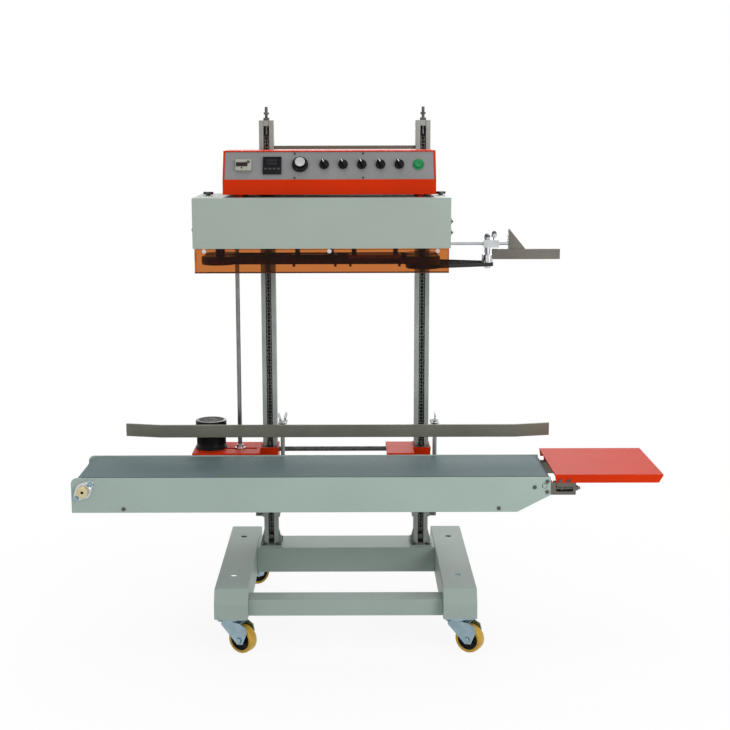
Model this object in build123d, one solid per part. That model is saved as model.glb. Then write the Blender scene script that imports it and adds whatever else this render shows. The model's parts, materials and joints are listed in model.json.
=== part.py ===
from build123d import *
import os
from math import acos, atan2, cos, degrees, hypot, pi, radians, sin, tan

# Continuous band sealer on a wheeled base. Millimetres. Sizes are measured from the middle of
# the base: +X towards the infeed, +Y away from the operator, Z = 0 on the floor. Each file is
# written with the origin moved to the middle of the overall length.

# Clearances
running_gap = 0.05  # radial, shaft in its bearing
moving_gap = 0.3  # between surfaces that pass each other
free_gap = 1.0  # round a screw that only passes through

# Base
base_width = 700.0
base_depth = 620.0
beam_width = 90.0
beam_height = 80.0
beam_wall = 3.0
nose_height = 42.0  # vertical part of each beam end
nose_run = 22.0  # length of the slope above it
pad_thickness = 6.0
pad_length = 95.0
mount_hole_radius = 8.5
mount_hole_x = 307.0
mount_hole_front_y = -178.0
mount_hole_rear_y = 182.0
rear_cross_depth = 120.0
rear_cross_height = 74.0
rear_cross_y = 129.0
front_cross_depth = 60.0
front_cross_height = 45.0
front_cross_y = -250.0

# Casters
caster_height = 100.0
caster_x = 305.0
caster_y = 265.0
caster_turn = 31.0  # degrees that each fork trails outwards from +X
caster_trail = 33.0
wheel_radius = 37.5
wheel_width = 30.0
hub_radius = 29.0
axle_radius = 5.0
fork_sheet = 3.0
plate_size = 80.0
plate_thickness = 4.5
race_radius = 24.0
race_height = 9.5
kingpin_radius = 5.0
caster_bolt_pitch = 60.0

# Columns and lift chains
column_size = 41.0
column_wall = 3.0
column_slot = 16.0
column_x = 219.0
column_front = 90.0
column_top = 1411.0
foot_thickness = 6.0
foot_width = 62.0
foot_front = 70.0
foot_rear = 165.0
gusset_height = 44.0
gusset_sheet = 5.0
foot_bolt_head = 10.0  # from a foot bolt's centre to what stands beside it
cap_height = 16.0
chain_pitch = 9.525
chain_roller_radius = 3.175
chain_inner_width = 5.8
chain_outer_width = 11.0
chain_plate_height = 8.2
chain_depth = 12.0  # chain centre behind the column's front face
chain_bottom = 212.0
chain_drop = 39.0  # from the column's top down to the chain's last link
rod_radius = 4.0
rod_rise = 37.0  # of the tensioning rod above the column
stop_bottom = 267.0  # the clamp on each column that ends the carriage's travel
stop_height = 20.0
stop_sheet = 5.0
tie_bar_z = 1336.0

# Conveyor, which hangs on the columns as a lifting carriage
conveyor_y = -153.0
conveyor_width = 254.0
conveyor_left = -724.0
conveyor_right = 542.0
side_sheet = 3.0
side_bottom = 386.5
side_top = 481.5
side_corner = 16.0
taper_start = 455.0
taper_top = 432.0
belt_top = 480.0
belt_thickness = 2.5
belt_width = 230.0
drive_roller_radius = 30.0
drive_roller_x = -691.0
drive_shaft_radius = 10.0
tail_roller_radius = 20.0
tail_roller_x = 526.0
tail_axle_radius = 6.0
bed_sheet = 3.0
bed_margin = 6.0
bearing_radius = 22.0
bearing_thickness = 11.0
bracket_right = 609.0
bracket_bottom = 432.0
bracket_top = 466.0
bracket_sheet = 5.0
table_left = 552.0
table_right = 838.0
table_front = -283.0
table_rear = 20.0
table_top = 488.5
table_sheet = 3.0
table_flange = 22.5

# Carriages, lift shaft and drive
sprocket_teeth = 13
lift_shaft_radius = 7.0
lift_shaft_z = 474.0
cheek_sheet = 4.0
cheek_gap = 0.4
cheek_front = 52.0
carriage_top = 486.0
carriage_bottom = 384.0
carriage_sheet = 4.0
carriage_rear = 120.0
left_plate_end = -433.0
right_plate_end = 116.0
motor_x = -385.0
motor_y = 49.0
motor_radius = 44.5
motor_height = 83.0
gearbox_size = 90.0
gearbox_height = 80.0
drive_shaft_x = -302.0
drive_shaft_y = 38.0
line_shaft_radius = 6.0
line_shaft_bottom = 400.0
line_shaft_top = 1290.0

# Guard rail
rail_front = -60.0
rail_bottom = 540.0
rail_top = 575.0
rail_sheet = 2.5
rail_lip = 8.0
rail_left = -514.0
rail_right = 470.0
rail_flare = 22.0
rail_flare_run = 100.0
post_radius = 6.0
post_left_x = -177.0
post_right_x = 251.0
post_bottom = 402.0
slot_half = 4.6
slot_reach = 48.0
screw_radius = 3.9
wing_turn = {"left": 25.0, "right": 90.0}  # degrees each wing screw was last left at

# Sealing head
head_left = -390.0
head_right = 273.0
head_front = -270.0
head_bottom = 1083.5
head_top = 1213.0
cover_sheet = 2.0
cover_rear = 16.0
chassis_thickness = 8.0
chassis_rear = 82.0
guard_bottom = 1020.0
guard_sheet = 3.0
guard_return = 16.0
bracket_width = 60.0
bracket_rise = 88.0
seal_y = -153.0
film_gap = 0.4  # half the gap between the two bands
band_thickness = 0.8
band_bottom = 1041.0
band_width = 15.0
band_wheel_radius = 44.0
drive_wheel_x = -330.0
idle_wheel_x = 205.0
spindle_radius = 8.0
gear_teeth = 26
gear_bottom = 1116.0
gear_width = 12.0
block_bottom = 1036.0
block_top = 1059.0
block_depth = 18.0
heater_left = 10.0
heater_right = 150.0
cooler_left = -140.0
cooler_right = -20.0
press_wheel_x = -200.0
press_wheel_radius = 20.0
belt_guide_bottom = 1028.5
belt_guide_width = 9.5
belt_guide_thickness = 1.5
infeed_x = 378.0
infeed_radius = 13.0
infeed_axle_radius = 4.0
arm_z = 1088.0
arm_radius = 6.0
guide_left = 391.0
guide_right = 570.0
guide_bottom = 1045.0
guide_top = 1070.0
guide_slot = 10.0
guide_sheet = 2.0
fin_left = 436.0
fin_right = 479.0
fin_top = 1124.5

# Control box
box_left = -313.0
box_right = 236.0
box_front = -240.0
box_rear = 15.0
box_bottom = 1220.0
box_lip = 1256.5
box_top = 1331.5
box_crown_y = -200.0
box_sheet = 2.0
panel_sheet = 3.0
panel_margin = 3.0
panel_overlap = 1.5  # behind the edge of the window
panel_row = 45.0  # height of the controls up the slope
instrument_row = 42.0
counter_x = -260.0
thermostat_x = -186.0
thermostat_size = 48.0
speed_x = -114.0
selector_first_x = -52.0
selector_pitch = 48.4
selector_count = 5
selector_radius = 12.5
button_x = 191.0
button_radius = 11.0
knob_shaft_radius = 3.0

# Worked out from the sizes above
beam_bottom = caster_height
beam_top = beam_bottom + beam_height
beam_x = base_width / 2 - beam_width / 2
cross_half = base_width / 2 - beam_width
column_rear = column_front + column_size
chain_y = column_front + chain_depth
chain_top = column_top - chain_drop
rod_top = column_top + rod_rise
sprocket_radius = sprocket_teeth * chain_pitch / (2 * pi)
lift_shaft_y = chain_y - sprocket_radius
conveyor_front = conveyor_y - conveyor_width / 2
conveyor_rear = conveyor_y + conveyor_width / 2
drive_roller_z = belt_top - belt_thickness - moving_gap - drive_roller_radius
tail_roller_z = belt_top - belt_thickness - moving_gap - tail_roller_radius
wheel_offset = band_wheel_radius + moving_gap + band_thickness + film_gap
infeed_offset = infeed_radius + moving_gap + belt_guide_thickness + film_gap
press_offset = press_wheel_radius + moving_gap + band_thickness + film_gap
block_offset = film_gap + band_thickness + moving_gap
chassis_top = head_bottom + chassis_thickness
slope_length = hypot(box_crown_y - box_front, box_top - box_lip)
slope_angle = degrees(atan2(box_crown_y - box_front, box_top - box_lip))
middle_x = (conveyor_left + table_right) / 2


def block(x0, x1, y0, y1, z0, z1):
    middle = Pos((x0 + x1) / 2, (y0 + y1) / 2, (z0 + z1) / 2)
    return middle * Box(x1 - x0, y1 - y0, z1 - z0)


def rod_x(x0, x1, y, z, radius):
    return Pos((x0 + x1) / 2, y, z) * Rot(0, 90, 0) * Cylinder(radius, x1 - x0)


def rod_y(x, y0, y1, z, radius):
    return Pos(x, (y0 + y1) / 2, z) * Rot(90, 0, 0) * Cylinder(radius, y1 - y0)


def rod_z(x, y, z0, z1, radius):
    return Pos(x, y, (z0 + z1) / 2) * Cylinder(radius, z1 - z0)


def prism_x(points, x0, x1):
    face = make_face(Polyline(*points, close=True))
    return extrude(Plane.YZ.offset(x0) * face, x1 - x0)


def prism_y(points, y0, y1):
    plane = Plane(origin=(0, y1, 0), x_dir=(1, 0, 0), z_dir=(0, -1, 0))
    return extrude(plane * make_face(Polyline(*points, close=True)), y1 - y0)


def prism_z(points, z0, z1):
    return extrude(Plane.XY.offset(z0) * make_face(Polyline(*points, close=True)), z1 - z0)


def hexagon_z(x, y, z0, z1, across):
    outline = RegularPolygon(across / 2, 6, major_radius=False)
    return extrude(Pos(x, y, z0) * outline, z1 - z0)


def hexagon_y(x, y0, y1, z, across):
    head = extrude(RegularPolygon(across / 2, 6, major_radius=False), y1 - y0)
    return Pos(x, y1, z) * Rot(90, 0, 0) * head


def hexagon_x(x0, x1, y, z, across):
    head = extrude(RegularPolygon(across / 2, 6, major_radius=False), x1 - x0)
    return Pos(x0, y, z) * Rot(0, 90, 0) * head


def loop_face(first, first_radius, second, second_radius):
    """The outline of a belt round two circles, given as (u, v) centres."""
    du, dv = second[0] - first[0], second[1] - first[1]
    along = atan2(dv, du)
    spread = acos((first_radius - second_radius) / hypot(du, dv))
    corners = []
    for centre, radius, side in (
        (first, first_radius, 1),
        (second, second_radius, 1),
        (second, second_radius, -1),
        (first, first_radius, -1),
    ):
        turn = along + side * spread
        corners.append((centre[0] + radius * cos(turn), centre[1] + radius * sin(turn)))
    web = make_face(Polyline(*corners, close=True))
    ends = [Pos(*first) * Circle(first_radius), Pos(*second) * Circle(second_radius)]
    return web + ends


def loop_solid(plane, first, first_radius, second, second_radius, thickness, width):
    """A closed belt: radii are of its inner face."""
    outer = loop_face(first, first_radius + thickness, second, second_radius + thickness)
    inner = loop_face(first, first_radius, second, second_radius)
    return extrude(plane * (outer - inner), width)


def toothed(teeth, root, tip, root_half, tip_half, thickness):
    """A toothed disc about Z, one tooth along +X, half-widths given at root and tip."""
    points = []
    corners = ((root, -root_half), (tip, -tip_half), (tip, tip_half), (root, root_half))
    for tooth in range(teeth):
        middle = 2 * pi * tooth / teeth
        for radius, half in corners:
            turn = middle + half / radius
            points.append((radius * cos(turn), radius * sin(turn)))
    return extrude(make_face(Polyline(*points, close=True)), thickness / 2, both=True)


parts = {}


def add(name, *shapes):
    """Keep a node: one solid, or a group of separate ones."""
    solids = [solid for shape in shapes for solid in shape.solids()]
    parts[name] = solids[0] if len(solids) == 1 else Compound(children=solids)


def side_beam(side):
    """A folded channel, open below, with a pad at each end for the caster."""
    half = base_depth / 2
    outline = [
        (-half, beam_bottom),
        (-half, beam_bottom + nose_height),
        (nose_run - half, beam_top),
        (half - nose_run, beam_top),
        (half, beam_bottom + nose_height),
        (half, beam_bottom),
    ]
    inside = [
        (beam_wall - half, beam_bottom - 1),
        (beam_wall - half, beam_bottom + nose_height - beam_wall / 2),
        (nose_run - half + beam_wall / 2, beam_top - beam_wall),
        (half - nose_run - beam_wall / 2, beam_top - beam_wall),
        (half - beam_wall, beam_bottom + nose_height - beam_wall / 2),
        (half - beam_wall, beam_bottom - 1),
    ]
    x0, x1 = side * beam_x - beam_width / 2, side * beam_x + beam_width / 2
    beam = prism_x(outline, x0, x1)
    beam = fillet(beam.edges().filter_by(Axis.Y).group_by(Axis.Z)[-1], beam_wall)
    beam -= prism_x(inside, x0 + beam_wall, x1 - beam_wall)
    for end in (-1, 1):
        y0, y1 = sorted((end * half, end * (half - pad_length)))
        beam += block(x0, x1, y0, y1, beam_bottom, beam_bottom + pad_thickness)
        for dx, dy in caster_corners():
            place = (side * caster_x + dx, end * caster_y + dy)
            top = beam_bottom + pad_thickness
            beam -= rod_z(*place, beam_bottom, top, caster_bolt_radius() + free_gap / 4)
    for y in (mount_hole_front_y, mount_hole_rear_y):
        top = beam_top + 1
        beam -= rod_z(side * mount_hole_x, y, beam_top - 2 * beam_wall, top, mount_hole_radius)
    return beam


def tube(x0, x1, y, depth, z0, z1):
    wall = beam_wall
    outer = block(x0, x1, y - depth / 2, y + depth / 2, z0, z1)
    hole = block(x0, x1, y - depth / 2 + wall, y + depth / 2 - wall, z0 + wall, z1 - wall)
    return outer - hole


def caster_bolt_radius():
    return caster_bolt_pitch / 15


def caster_corners():
    reach = caster_bolt_pitch / 2
    return [(dx, dy) for dx in (-reach, reach) for dy in (-reach, reach)]


def make_base():
    rear_bottom = beam_top - rear_cross_height
    rear = tube(-cross_half, cross_half, rear_cross_y, rear_cross_depth, rear_bottom, beam_top)
    front_top = beam_bottom + front_cross_height
    front = tube(-cross_half, cross_half, front_cross_y, front_cross_depth, beam_bottom, front_top)
    add("base_frame", side_beam(-1), side_beam(1), rear, front)


caster_places = {
    "front_left": (-1, -1),
    "front_right": (1, -1),
    "rear_left": (-1, 1),
    "rear_right": (1, 1),
}


def caster_plate():
    """Top plate, fixed race and kingpin, about the swivel axis."""
    top = caster_height
    race_bottom = top - plate_thickness - race_height
    fork_top = race_bottom - moving_gap
    half = plate_size / 2
    plate = block(-half, half, -half, half, top - plate_thickness, top)
    plate = fillet(plate.edges().filter_by(Axis.Z), plate_size / 10)
    for dx, dy in caster_corners():
        plate -= rod_z(dx, dy, top - plate_thickness, top, caster_bolt_radius() + free_gap / 4)
    plate += rod_z(0, 0, race_bottom, top, race_radius)
    plate += rod_z(0, 0, fork_top - fork_sheet - moving_gap - 4, top, kingpin_radius)
    head_top = fork_top - fork_sheet - moving_gap
    plate += rod_z(0, 0, head_top - 4, head_top, kingpin_radius + 4)
    return plate


def caster_fork():
    """Swivelling fork with its legs, trailing along +X."""
    top = caster_height - plate_thickness - race_height - moving_gap
    inner = wheel_width / 2 + 2
    outer = inner + fork_sheet
    reach = race_radius
    fork = block(-reach, caster_trail + 4, -outer, outer, top - fork_sheet, top)
    leg = [
        (-reach, top),
        (caster_trail + 4, top),
        (caster_trail + 22, top - 9),
        (caster_trail + 26, wheel_radius + 22),
        (caster_trail + 12, wheel_radius - 10),
        (caster_trail - 6, wheel_radius - 12),
        (caster_trail - 14, wheel_radius - 4),
        (-reach, top - 14),
    ]
    for y0, y1 in ((-outer, -inner), (inner, outer)):
        fork += prism_y(leg, y0, y1)
    fork -= rod_z(0, 0, top - fork_sheet, top, kingpin_radius + running_gap)
    fork -= rod_y(caster_trail, -outer, outer, wheel_radius, axle_radius)
    return fork


def caster_axle():
    reach = wheel_width / 2 + 2 + fork_sheet
    axle = rod_y(caster_trail, -reach, reach, wheel_radius, axle_radius)
    axle += hexagon_y(caster_trail, -reach - 5, -reach, wheel_radius, 15)
    axle += hexagon_y(caster_trail, reach, reach + 5, wheel_radius, 15)
    return axle


def caster_wheel():
    half = wheel_width / 2
    place = Pos(caster_trail, 0, wheel_radius) * Rot(90, 0, 0)
    tread = Cylinder(wheel_radius, wheel_width)
    tread = fillet(tread.edges().filter_by(GeomType.CIRCLE), wheel_width / 6)
    tread -= Cylinder(hub_radius, wheel_width)
    hub = Cylinder(hub_radius, wheel_width - 4)
    for side in (-1, 1):
        face = side * (half - 2)
        hub -= Pos(0, 0, face) * (Cylinder(hub_radius - 4, 8) - Cylinder(axle_radius + 7, 8))
    hub += Cylinder(axle_radius + 6, wheel_width + 4 - 2 * moving_gap)
    hub -= Cylinder(axle_radius + running_gap, wheel_width + 6)
    return [place * hub, place * tread]


def make_casters():
    plates = []
    for name, (side, end) in caster_places.items():
        place = Pos(side * caster_x, end * caster_y, 0) * Rot(0, 0, end * caster_turn)
        plates.append(Pos(side * caster_x, end * caster_y, 0) * caster_plate())
        add("caster_fork_" + name, place * caster_fork(), place * caster_axle())
        add("caster_wheel_" + name, *[place * solid for solid in caster_wheel()])
    add("caster_plates", *plates)


def column(side):
    """A strut channel whose slot faces the operator, with a welded foot and top block."""
    x = side * column_x
    half = column_size / 2
    y0, y1 = column_front, column_rear
    foot_top = beam_top + foot_thickness
    channel = block(x - half, x + half, y0, y1, foot_top, column_top)
    inner = half - column_wall
    wall = column_wall
    channel -= block(x - inner, x + inner, y0 + wall, y1 - wall, foot_top, column_top)
    slot = column_slot / 2
    channel -= block(x - slot, x + slot, y0, y0 + wall, foot_top, column_top)
    cap = block(x - inner, x + inner, y0 + wall, y1 - wall, column_top - cap_height, column_top)
    cap -= rod_z(x, chain_y, column_top - cap_height, column_top, rod_radius + free_gap / 4)
    foot = block(x - foot_width / 2, x + foot_width / 2, foot_front, foot_rear, beam_top, foot_top)
    low = gusset_height / 8
    tip = foot_rear - 3
    gusset = [(y1, foot_top), (tip, foot_top), (tip, foot_top + low), (y1, foot_top + gusset_height)]
    foot += prism_x(gusset, x - gusset_sheet / 2, x + gusset_sheet / 2)
    for edge in (-1, 1):
        wing = [
            (x + edge * half, foot_top),
            (x + edge * (foot_width / 2 - 1), foot_top),
            (x + edge * (foot_width / 2 - 1), foot_top + low),
            (x + edge * half, foot_top + gusset_height),
        ]
        foot += prism_y(wing, y0 + half - gusset_sheet / 2, y0 + half + gusset_sheet / 2)
    for place in foot_bolt_places(side):
        foot -= rod_z(*place, beam_top, foot_top, rod_radius)
    return [channel, cap, foot, travel_stop(side)]


def travel_stop(side):
    """A clamp on one column, open at the slot, with an ear on the outer side."""
    x = side * column_x
    half = column_size / 2
    outer = half + stop_sheet
    low, top = stop_bottom, stop_bottom + stop_height
    shape = block(x - outer, x + outer, column_front, column_rear + stop_sheet, low, top)
    shape -= block(x - half, x + half, column_front, column_rear, low, top)
    middle = column_front + stop_height
    x0, x1 = sorted((x + side * outer, x + side * (outer + stop_height)))
    shape += block(x0, x1, middle - stop_height / 2, middle + stop_height / 2, low, top)
    return shape


def foot_bolt_places(side):
    x = side * column_x
    reach = foot_width / 2 - 9
    front = column_front - foot_bolt_head
    return [(x + edge * reach, y) for edge in (-1, 1) for y in (front, foot_rear - foot_bolt_head)]


def anchor_height():
    return chain_bottom - rod_radius - moving_gap


def lift_chain(side):
    """A roller chain stretched up inside the column, with a gap level with the lift shaft."""
    x = side * column_x
    half_plate = chain_plate_height / 2
    strips = []
    for edge in (-1, 1):
        x0, x1 = sorted((x + edge * chain_inner_width / 2, x + edge * chain_outer_width / 2))
        strips.append(block(x0, x1, chain_y - half_plate, chain_y + half_plate, chain_bottom, chain_top))
    first = int((chain_bottom + half_plate - lift_shaft_z) / chain_pitch - 0.5)
    last = int((chain_top - half_plate - lift_shaft_z) / chain_pitch - 0.5)
    half = chain_inner_width / 2
    rollers = []
    for step in range(first, last + 1):
        z = lift_shaft_z + (step + 0.5) * chain_pitch
        rollers.append(rod_x(x - half, x + half, chain_y, z, chain_roller_radius))
    return strips[0] + ([strips[1]] + rollers)


def make_columns():
    for name, side in (("left", -1), ("right", 1)):
        add("column_" + name, *column(side))
    add("lift_chains", lift_chain(-1), lift_chain(1))
    inner = column_x - column_size / 2
    middle = column_front + column_size / 2
    add("tie_bar", block(-inner, inner, middle - 6, middle + 6, tie_bar_z - 5, tie_bar_z + 5))


def make_frame_fasteners():
    solids = []
    for side in (-1, 1):
        x = side * column_x
        rod = rod_z(x, chain_y, chain_top + moving_gap, rod_top, rod_radius)
        rod += rod_z(x, chain_y, chain_top + moving_gap, chain_top + 12, rod_radius + 1.5)
        rod += hexagon_z(x, chain_y, column_top, column_top + 7, 15)
        rod += hexagon_z(x, chain_y, column_top + 16, column_top + 22, 13)
        solids.append(rod)
        z = anchor_height()
        anchor = rod_y(x, column_front + 3, column_rear - column_wall, z, rod_radius)
        anchor += rod_y(x, column_front + 1, column_front + 6, z, column_slot / 2 - free_gap)
        solids.append(anchor)
        ear_x = x + side * (column_size / 2 + stop_sheet + stop_height / 2)
        ear_front = column_front + stop_height / 2
        solids.append(hexagon_y(ear_x, ear_front - 6, ear_front, stop_bottom + stop_height / 2, 13))
        foot_top = beam_top + foot_thickness
        for place in foot_bolt_places(side):
            bolt = rod_z(*place, beam_top + 0.1, foot_top, rod_radius - 0.1)
            solids.append(bolt + hexagon_z(*place, foot_top, foot_top + 5, 13))
    for side, end in caster_places.values():
        for dx, dy in caster_corners():
            place = (side * caster_x + dx, end * caster_y + dy)
            low = caster_height - plate_thickness
            top = beam_bottom + pad_thickness
            bolt = rod_z(*place, low, top, caster_bolt_radius())
            bolt += hexagon_z(*place, low - 4, low, 12)
            solids.append(bolt + hexagon_z(*place, top, top + 5, 12))
    add("frame_fasteners", *solids)


def side_plate(outward):
    """One conveyor side: a sheet with a rounded tail, a tapered nose and a bottom flange."""
    outer = conveyor_y + outward * conveyor_width / 2
    inner = outer - outward * side_sheet
    y0, y1 = sorted((outer, inner))
    outline = [
        (conveyor_left, side_bottom),
        (taper_start, side_bottom),
        (conveyor_right, taper_top),
        (conveyor_right, side_top),
        (conveyor_left, side_top),
    ]
    plate = prism_y(outline, y0, y1)
    corner = plate.edges().filter_by(Axis.Y).group_by(Axis.X)[0].sort_by(Axis.Z)[-1]
    plate = fillet(corner, side_corner)
    flange_end = inner - outward * 15
    f0, f1 = sorted((inner, flange_end))
    plate += block(conveyor_left + 12, taper_start - 6, f0, f1, side_bottom, side_bottom + side_sheet)
    for x, z, radius in (
        (drive_roller_x, drive_roller_z, drive_shaft_radius + free_gap),
        (tail_roller_x, tail_roller_z, tail_axle_radius + free_gap),
    ):
        plate -= rod_y(x, y0, y1, z, radius)
    return plate


def bed_ends():
    left = drive_roller_x + drive_roller_radius + bed_margin
    right = tail_roller_x - tail_roller_radius - bed_margin
    return left, right


def make_conveyor_frame():
    inner_front = conveyor_front + side_sheet
    inner_rear = conveyor_rear - side_sheet
    left, right = bed_ends()
    bed_top = belt_top - belt_thickness - moving_gap
    bed = block(left, right, inner_front, inner_rear, bed_top - bed_sheet, bed_top)
    tubes = []
    for share in (0.2, 0.5, 0.8):
        x = left + share * (right - left)
        z = bed_top - bed_sheet - 12
        tubes.append(rod_y(x, inner_front, inner_rear, z, 12))
    add("conveyor_frame", side_plate(-1), side_plate(1), bed, *tubes)


def make_belt():
    plane = Plane(
        origin=(0, conveyor_y + belt_width / 2, 0), x_dir=(1, 0, 0), z_dir=(0, -1, 0)
    )
    belt = loop_solid(
        plane,
        (drive_roller_x, drive_roller_z),
        drive_roller_radius + moving_gap,
        (tail_roller_x, tail_roller_z),
        tail_roller_radius + moving_gap,
        belt_thickness,
        belt_width,
    )
    add("conveyor_belt", belt)


def make_rollers():
    half = belt_width / 2 + 2
    front, rear = conveyor_y - half, conveyor_y + half
    shell = rod_y(drive_roller_x, front, rear, drive_roller_z, drive_roller_radius)
    face = conveyor_front - bearing_thickness
    back = conveyor_rear + bearing_thickness
    shell += rod_y(drive_roller_x, face - 8, back + 3, drive_roller_z, drive_shaft_radius)
    knob = rod_y(drive_roller_x, face - 12, face - moving_gap, drive_roller_z, 15.5)
    knob -= rod_y(drive_roller_x, face - 8, face - moving_gap, drive_roller_z, drive_shaft_radius)
    knob -= rod_y(drive_roller_x, face - 12, face - 8, drive_roller_z, 4)
    add("drive_roller", shell, knob)
    tail = rod_y(tail_roller_x, front, rear, tail_roller_z, tail_roller_radius)
    tail += rod_y(tail_roller_x, conveyor_front, conveyor_rear, tail_roller_z, tail_axle_radius)
    add("tail_roller", tail)


def flange_bearing(outward):
    """A two-bolt oval bearing on the outside of one conveyor side."""
    x, z = drive_roller_x, drive_roller_z
    face = conveyor_y + outward * conveyor_width / 2
    y0, y1 = sorted((face, face + outward * 5))
    housing = rod_y(x, y0, y1, z, bearing_radius)
    lean = radians(45)
    for end in (-1, 1):
        ear_x = x + end * (bearing_radius + 5) * cos(lean)
        ear_z = z + end * (bearing_radius + 5) * sin(lean)
        housing += rod_y(ear_x, y0, y1, ear_z, 9)
    b0, b1 = sorted((face, face + outward * bearing_thickness))
    housing += rod_y(x, b0, b1, z, bearing_radius - 3)
    housing -= rod_y(x, b0, b1, z, drive_shaft_radius + running_gap)
    return housing


def tail_bracket(outward):
    """A tension bracket that carries on from the end of one conveyor side."""
    inner = conveyor_y + outward * (conveyor_width / 2 - side_sheet)
    sheet_in = inner - outward * bracket_sheet
    block_in = inner - outward * 4 * bracket_sheet
    s0, s1 = sorted((inner, sheet_in))
    b0, b1 = sorted((inner, block_in))
    start = tail_roller_x + tail_roller_radius + belt_thickness + 2
    bracket = block(tail_roller_x - 20, bracket_right, s0, s1, bracket_bottom, bracket_top)
    bracket += block(start, bracket_right, b0, b1, bracket_bottom, bracket_top)
    floor_in = inner - outward * 3 * bracket_sheet
    p0, p1 = sorted((inner, floor_in))
    middle = (bracket_top + bracket_bottom) / 2
    bracket -= block(start + 6, bracket_right - 8, p0, p1, middle - 8, middle + 8)
    tab_z = table_top - table_sheet
    t0, t1 = sorted((table_tab_face(outward), table_tab_face(outward) - outward * 4))
    bracket += block(table_left + 6, bracket_right, t0, t1, bracket_top - 12, tab_z)
    k0, k1 = sorted((table_tab_face(outward), inner - outward))
    bracket += block(table_left + 6, bracket_right, k0, k1, bracket_top - 6, bracket_top)
    bracket -= rod_y(tail_roller_x, s0, s1, tail_roller_z, tail_axle_radius + running_gap)
    screw_y = inner - outward * 1.5 * bracket_sheet
    hole = rod_x(bracket_right - 8, bracket_right, screw_y, middle, 4)
    bracket -= hole
    screw = rod_x(start + 6, bracket_right + 12, screw_y, middle, 4)
    screw += hexagon_x(bracket_right, bracket_right + 6, screw_y, middle, 13)
    screw += hexagon_x(start + 18, start + 24, screw_y, middle, 13)
    return [bracket, screw]


def table_tab_face(outward):
    """The face of each bracket tab that the table's front flange, or its underside, meets."""
    if outward < 0:
        return table_front + table_sheet
    return conveyor_y + conveyor_width / 2 - side_sheet


def make_roller_mounts():
    solids = [flange_bearing(-1), flange_bearing(1)]
    for outward in (-1, 1):
        solids += tail_bracket(outward)
    collar = rod_z(drive_shaft_x, drive_shaft_y, carriage_top, carriage_top + 4, 15)
    collar += rod_z(drive_shaft_x, drive_shaft_y, carriage_top, carriage_top + 13, 10)
    bore = line_shaft_radius + running_gap
    collar -= rod_z(drive_shaft_x, drive_shaft_y, carriage_top, carriage_top + 13, bore)
    add("roller_mounts", *solids, collar)


def make_table():
    top = block(table_left, table_right, table_front, table_rear, table_top - table_sheet, table_top)
    low = table_top - table_flange
    bevel = table_flange / 2
    flange = [
        (table_left, table_top),
        (table_right, table_top),
        (table_right, table_top - table_sheet),
        (table_right - bevel, low),
        (table_left + 3, low),
    ]
    top += prism_y(flange, table_front, table_front + table_sheet)
    top += prism_y(flange, table_rear - table_sheet, table_rear)
    add("infeed_table", top)


def carriage(side, plate_end):
    """A box of cheeks round one column, with a top plate and a flange to the conveyor."""
    x = side * column_x
    inner = column_size / 2 + cheek_gap
    outer = inner + cheek_sheet
    back0 = column_rear + cheek_gap
    back1 = back0 + cheek_sheet
    cheek_top = carriage_top - 2
    shape = block(x - outer, x + outer, cheek_front, back1, carriage_bottom, cheek_top)
    shape -= block(x - inner, x + inner, cheek_front + cheek_sheet, back0, carriage_bottom, cheek_top)
    strap0 = column_front - cheek_gap - cheek_sheet
    strap_top = carriage_bottom + 34
    shape += block(x - inner, x + inner, strap0, strap0 + cheek_sheet, carriage_bottom, strap_top)
    near = x - outer if plate_end < x else x + outer
    p0, p1 = sorted((plate_end, near))
    plate_bottom = carriage_top - carriage_sheet
    plate = block(p0, p1, conveyor_rear, carriage_rear, plate_bottom, carriage_top)
    plate += block(p0, p1, conveyor_rear, conveyor_rear + carriage_sheet, plate_bottom - 60, carriage_top)
    rib_x = near + (4 if plate_end > x else -4)
    r0, r1 = sorted((near, rib_x))
    rib = [
        (conveyor_rear, plate_bottom),
        (carriage_rear, plate_bottom),
        (carriage_rear, plate_bottom - 12),
        (conveyor_rear + 30, plate_bottom - 60),
        (conveyor_rear, plate_bottom - 60),
    ]
    plate += prism_x(rib, r0, r1)
    shape += plate
    bore = lift_shaft_radius + running_gap
    shape -= rod_x(x - 2 * outer, x + 2 * outer, lift_shaft_y, lift_shaft_z, bore)
    return shape


def clamp_block(side):
    """The block that stiffens the bottom of a carriage on its outer side."""
    edge = side * (column_x + column_size / 2 + cheek_gap + cheek_sheet)
    x0, x1 = sorted((edge, edge + side * 24))
    return block(x0, x1, cheek_front, cheek_front + 40, carriage_bottom - 8, carriage_bottom + 10)


def make_carriages():
    left = carriage(-1, left_plate_end) + clamp_block(-1)
    slot_x0, slot_x1 = drive_shaft_x - 42, drive_shaft_x + 48
    slot_y = line_shaft_radius + free_gap
    plate_bottom = carriage_top - carriage_sheet
    left -= block(
        slot_x0, slot_x1, drive_shaft_y - slot_y, drive_shaft_y + slot_y, plate_bottom, carriage_top
    )
    left -= rod_z(motor_x, motor_y, plate_bottom, carriage_top, motor_radius / 2 + 0.5)
    right = carriage(1, right_plate_end) + clamp_block(1)
    add("carriage_left", left)
    add("carriage_right", right)


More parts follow.
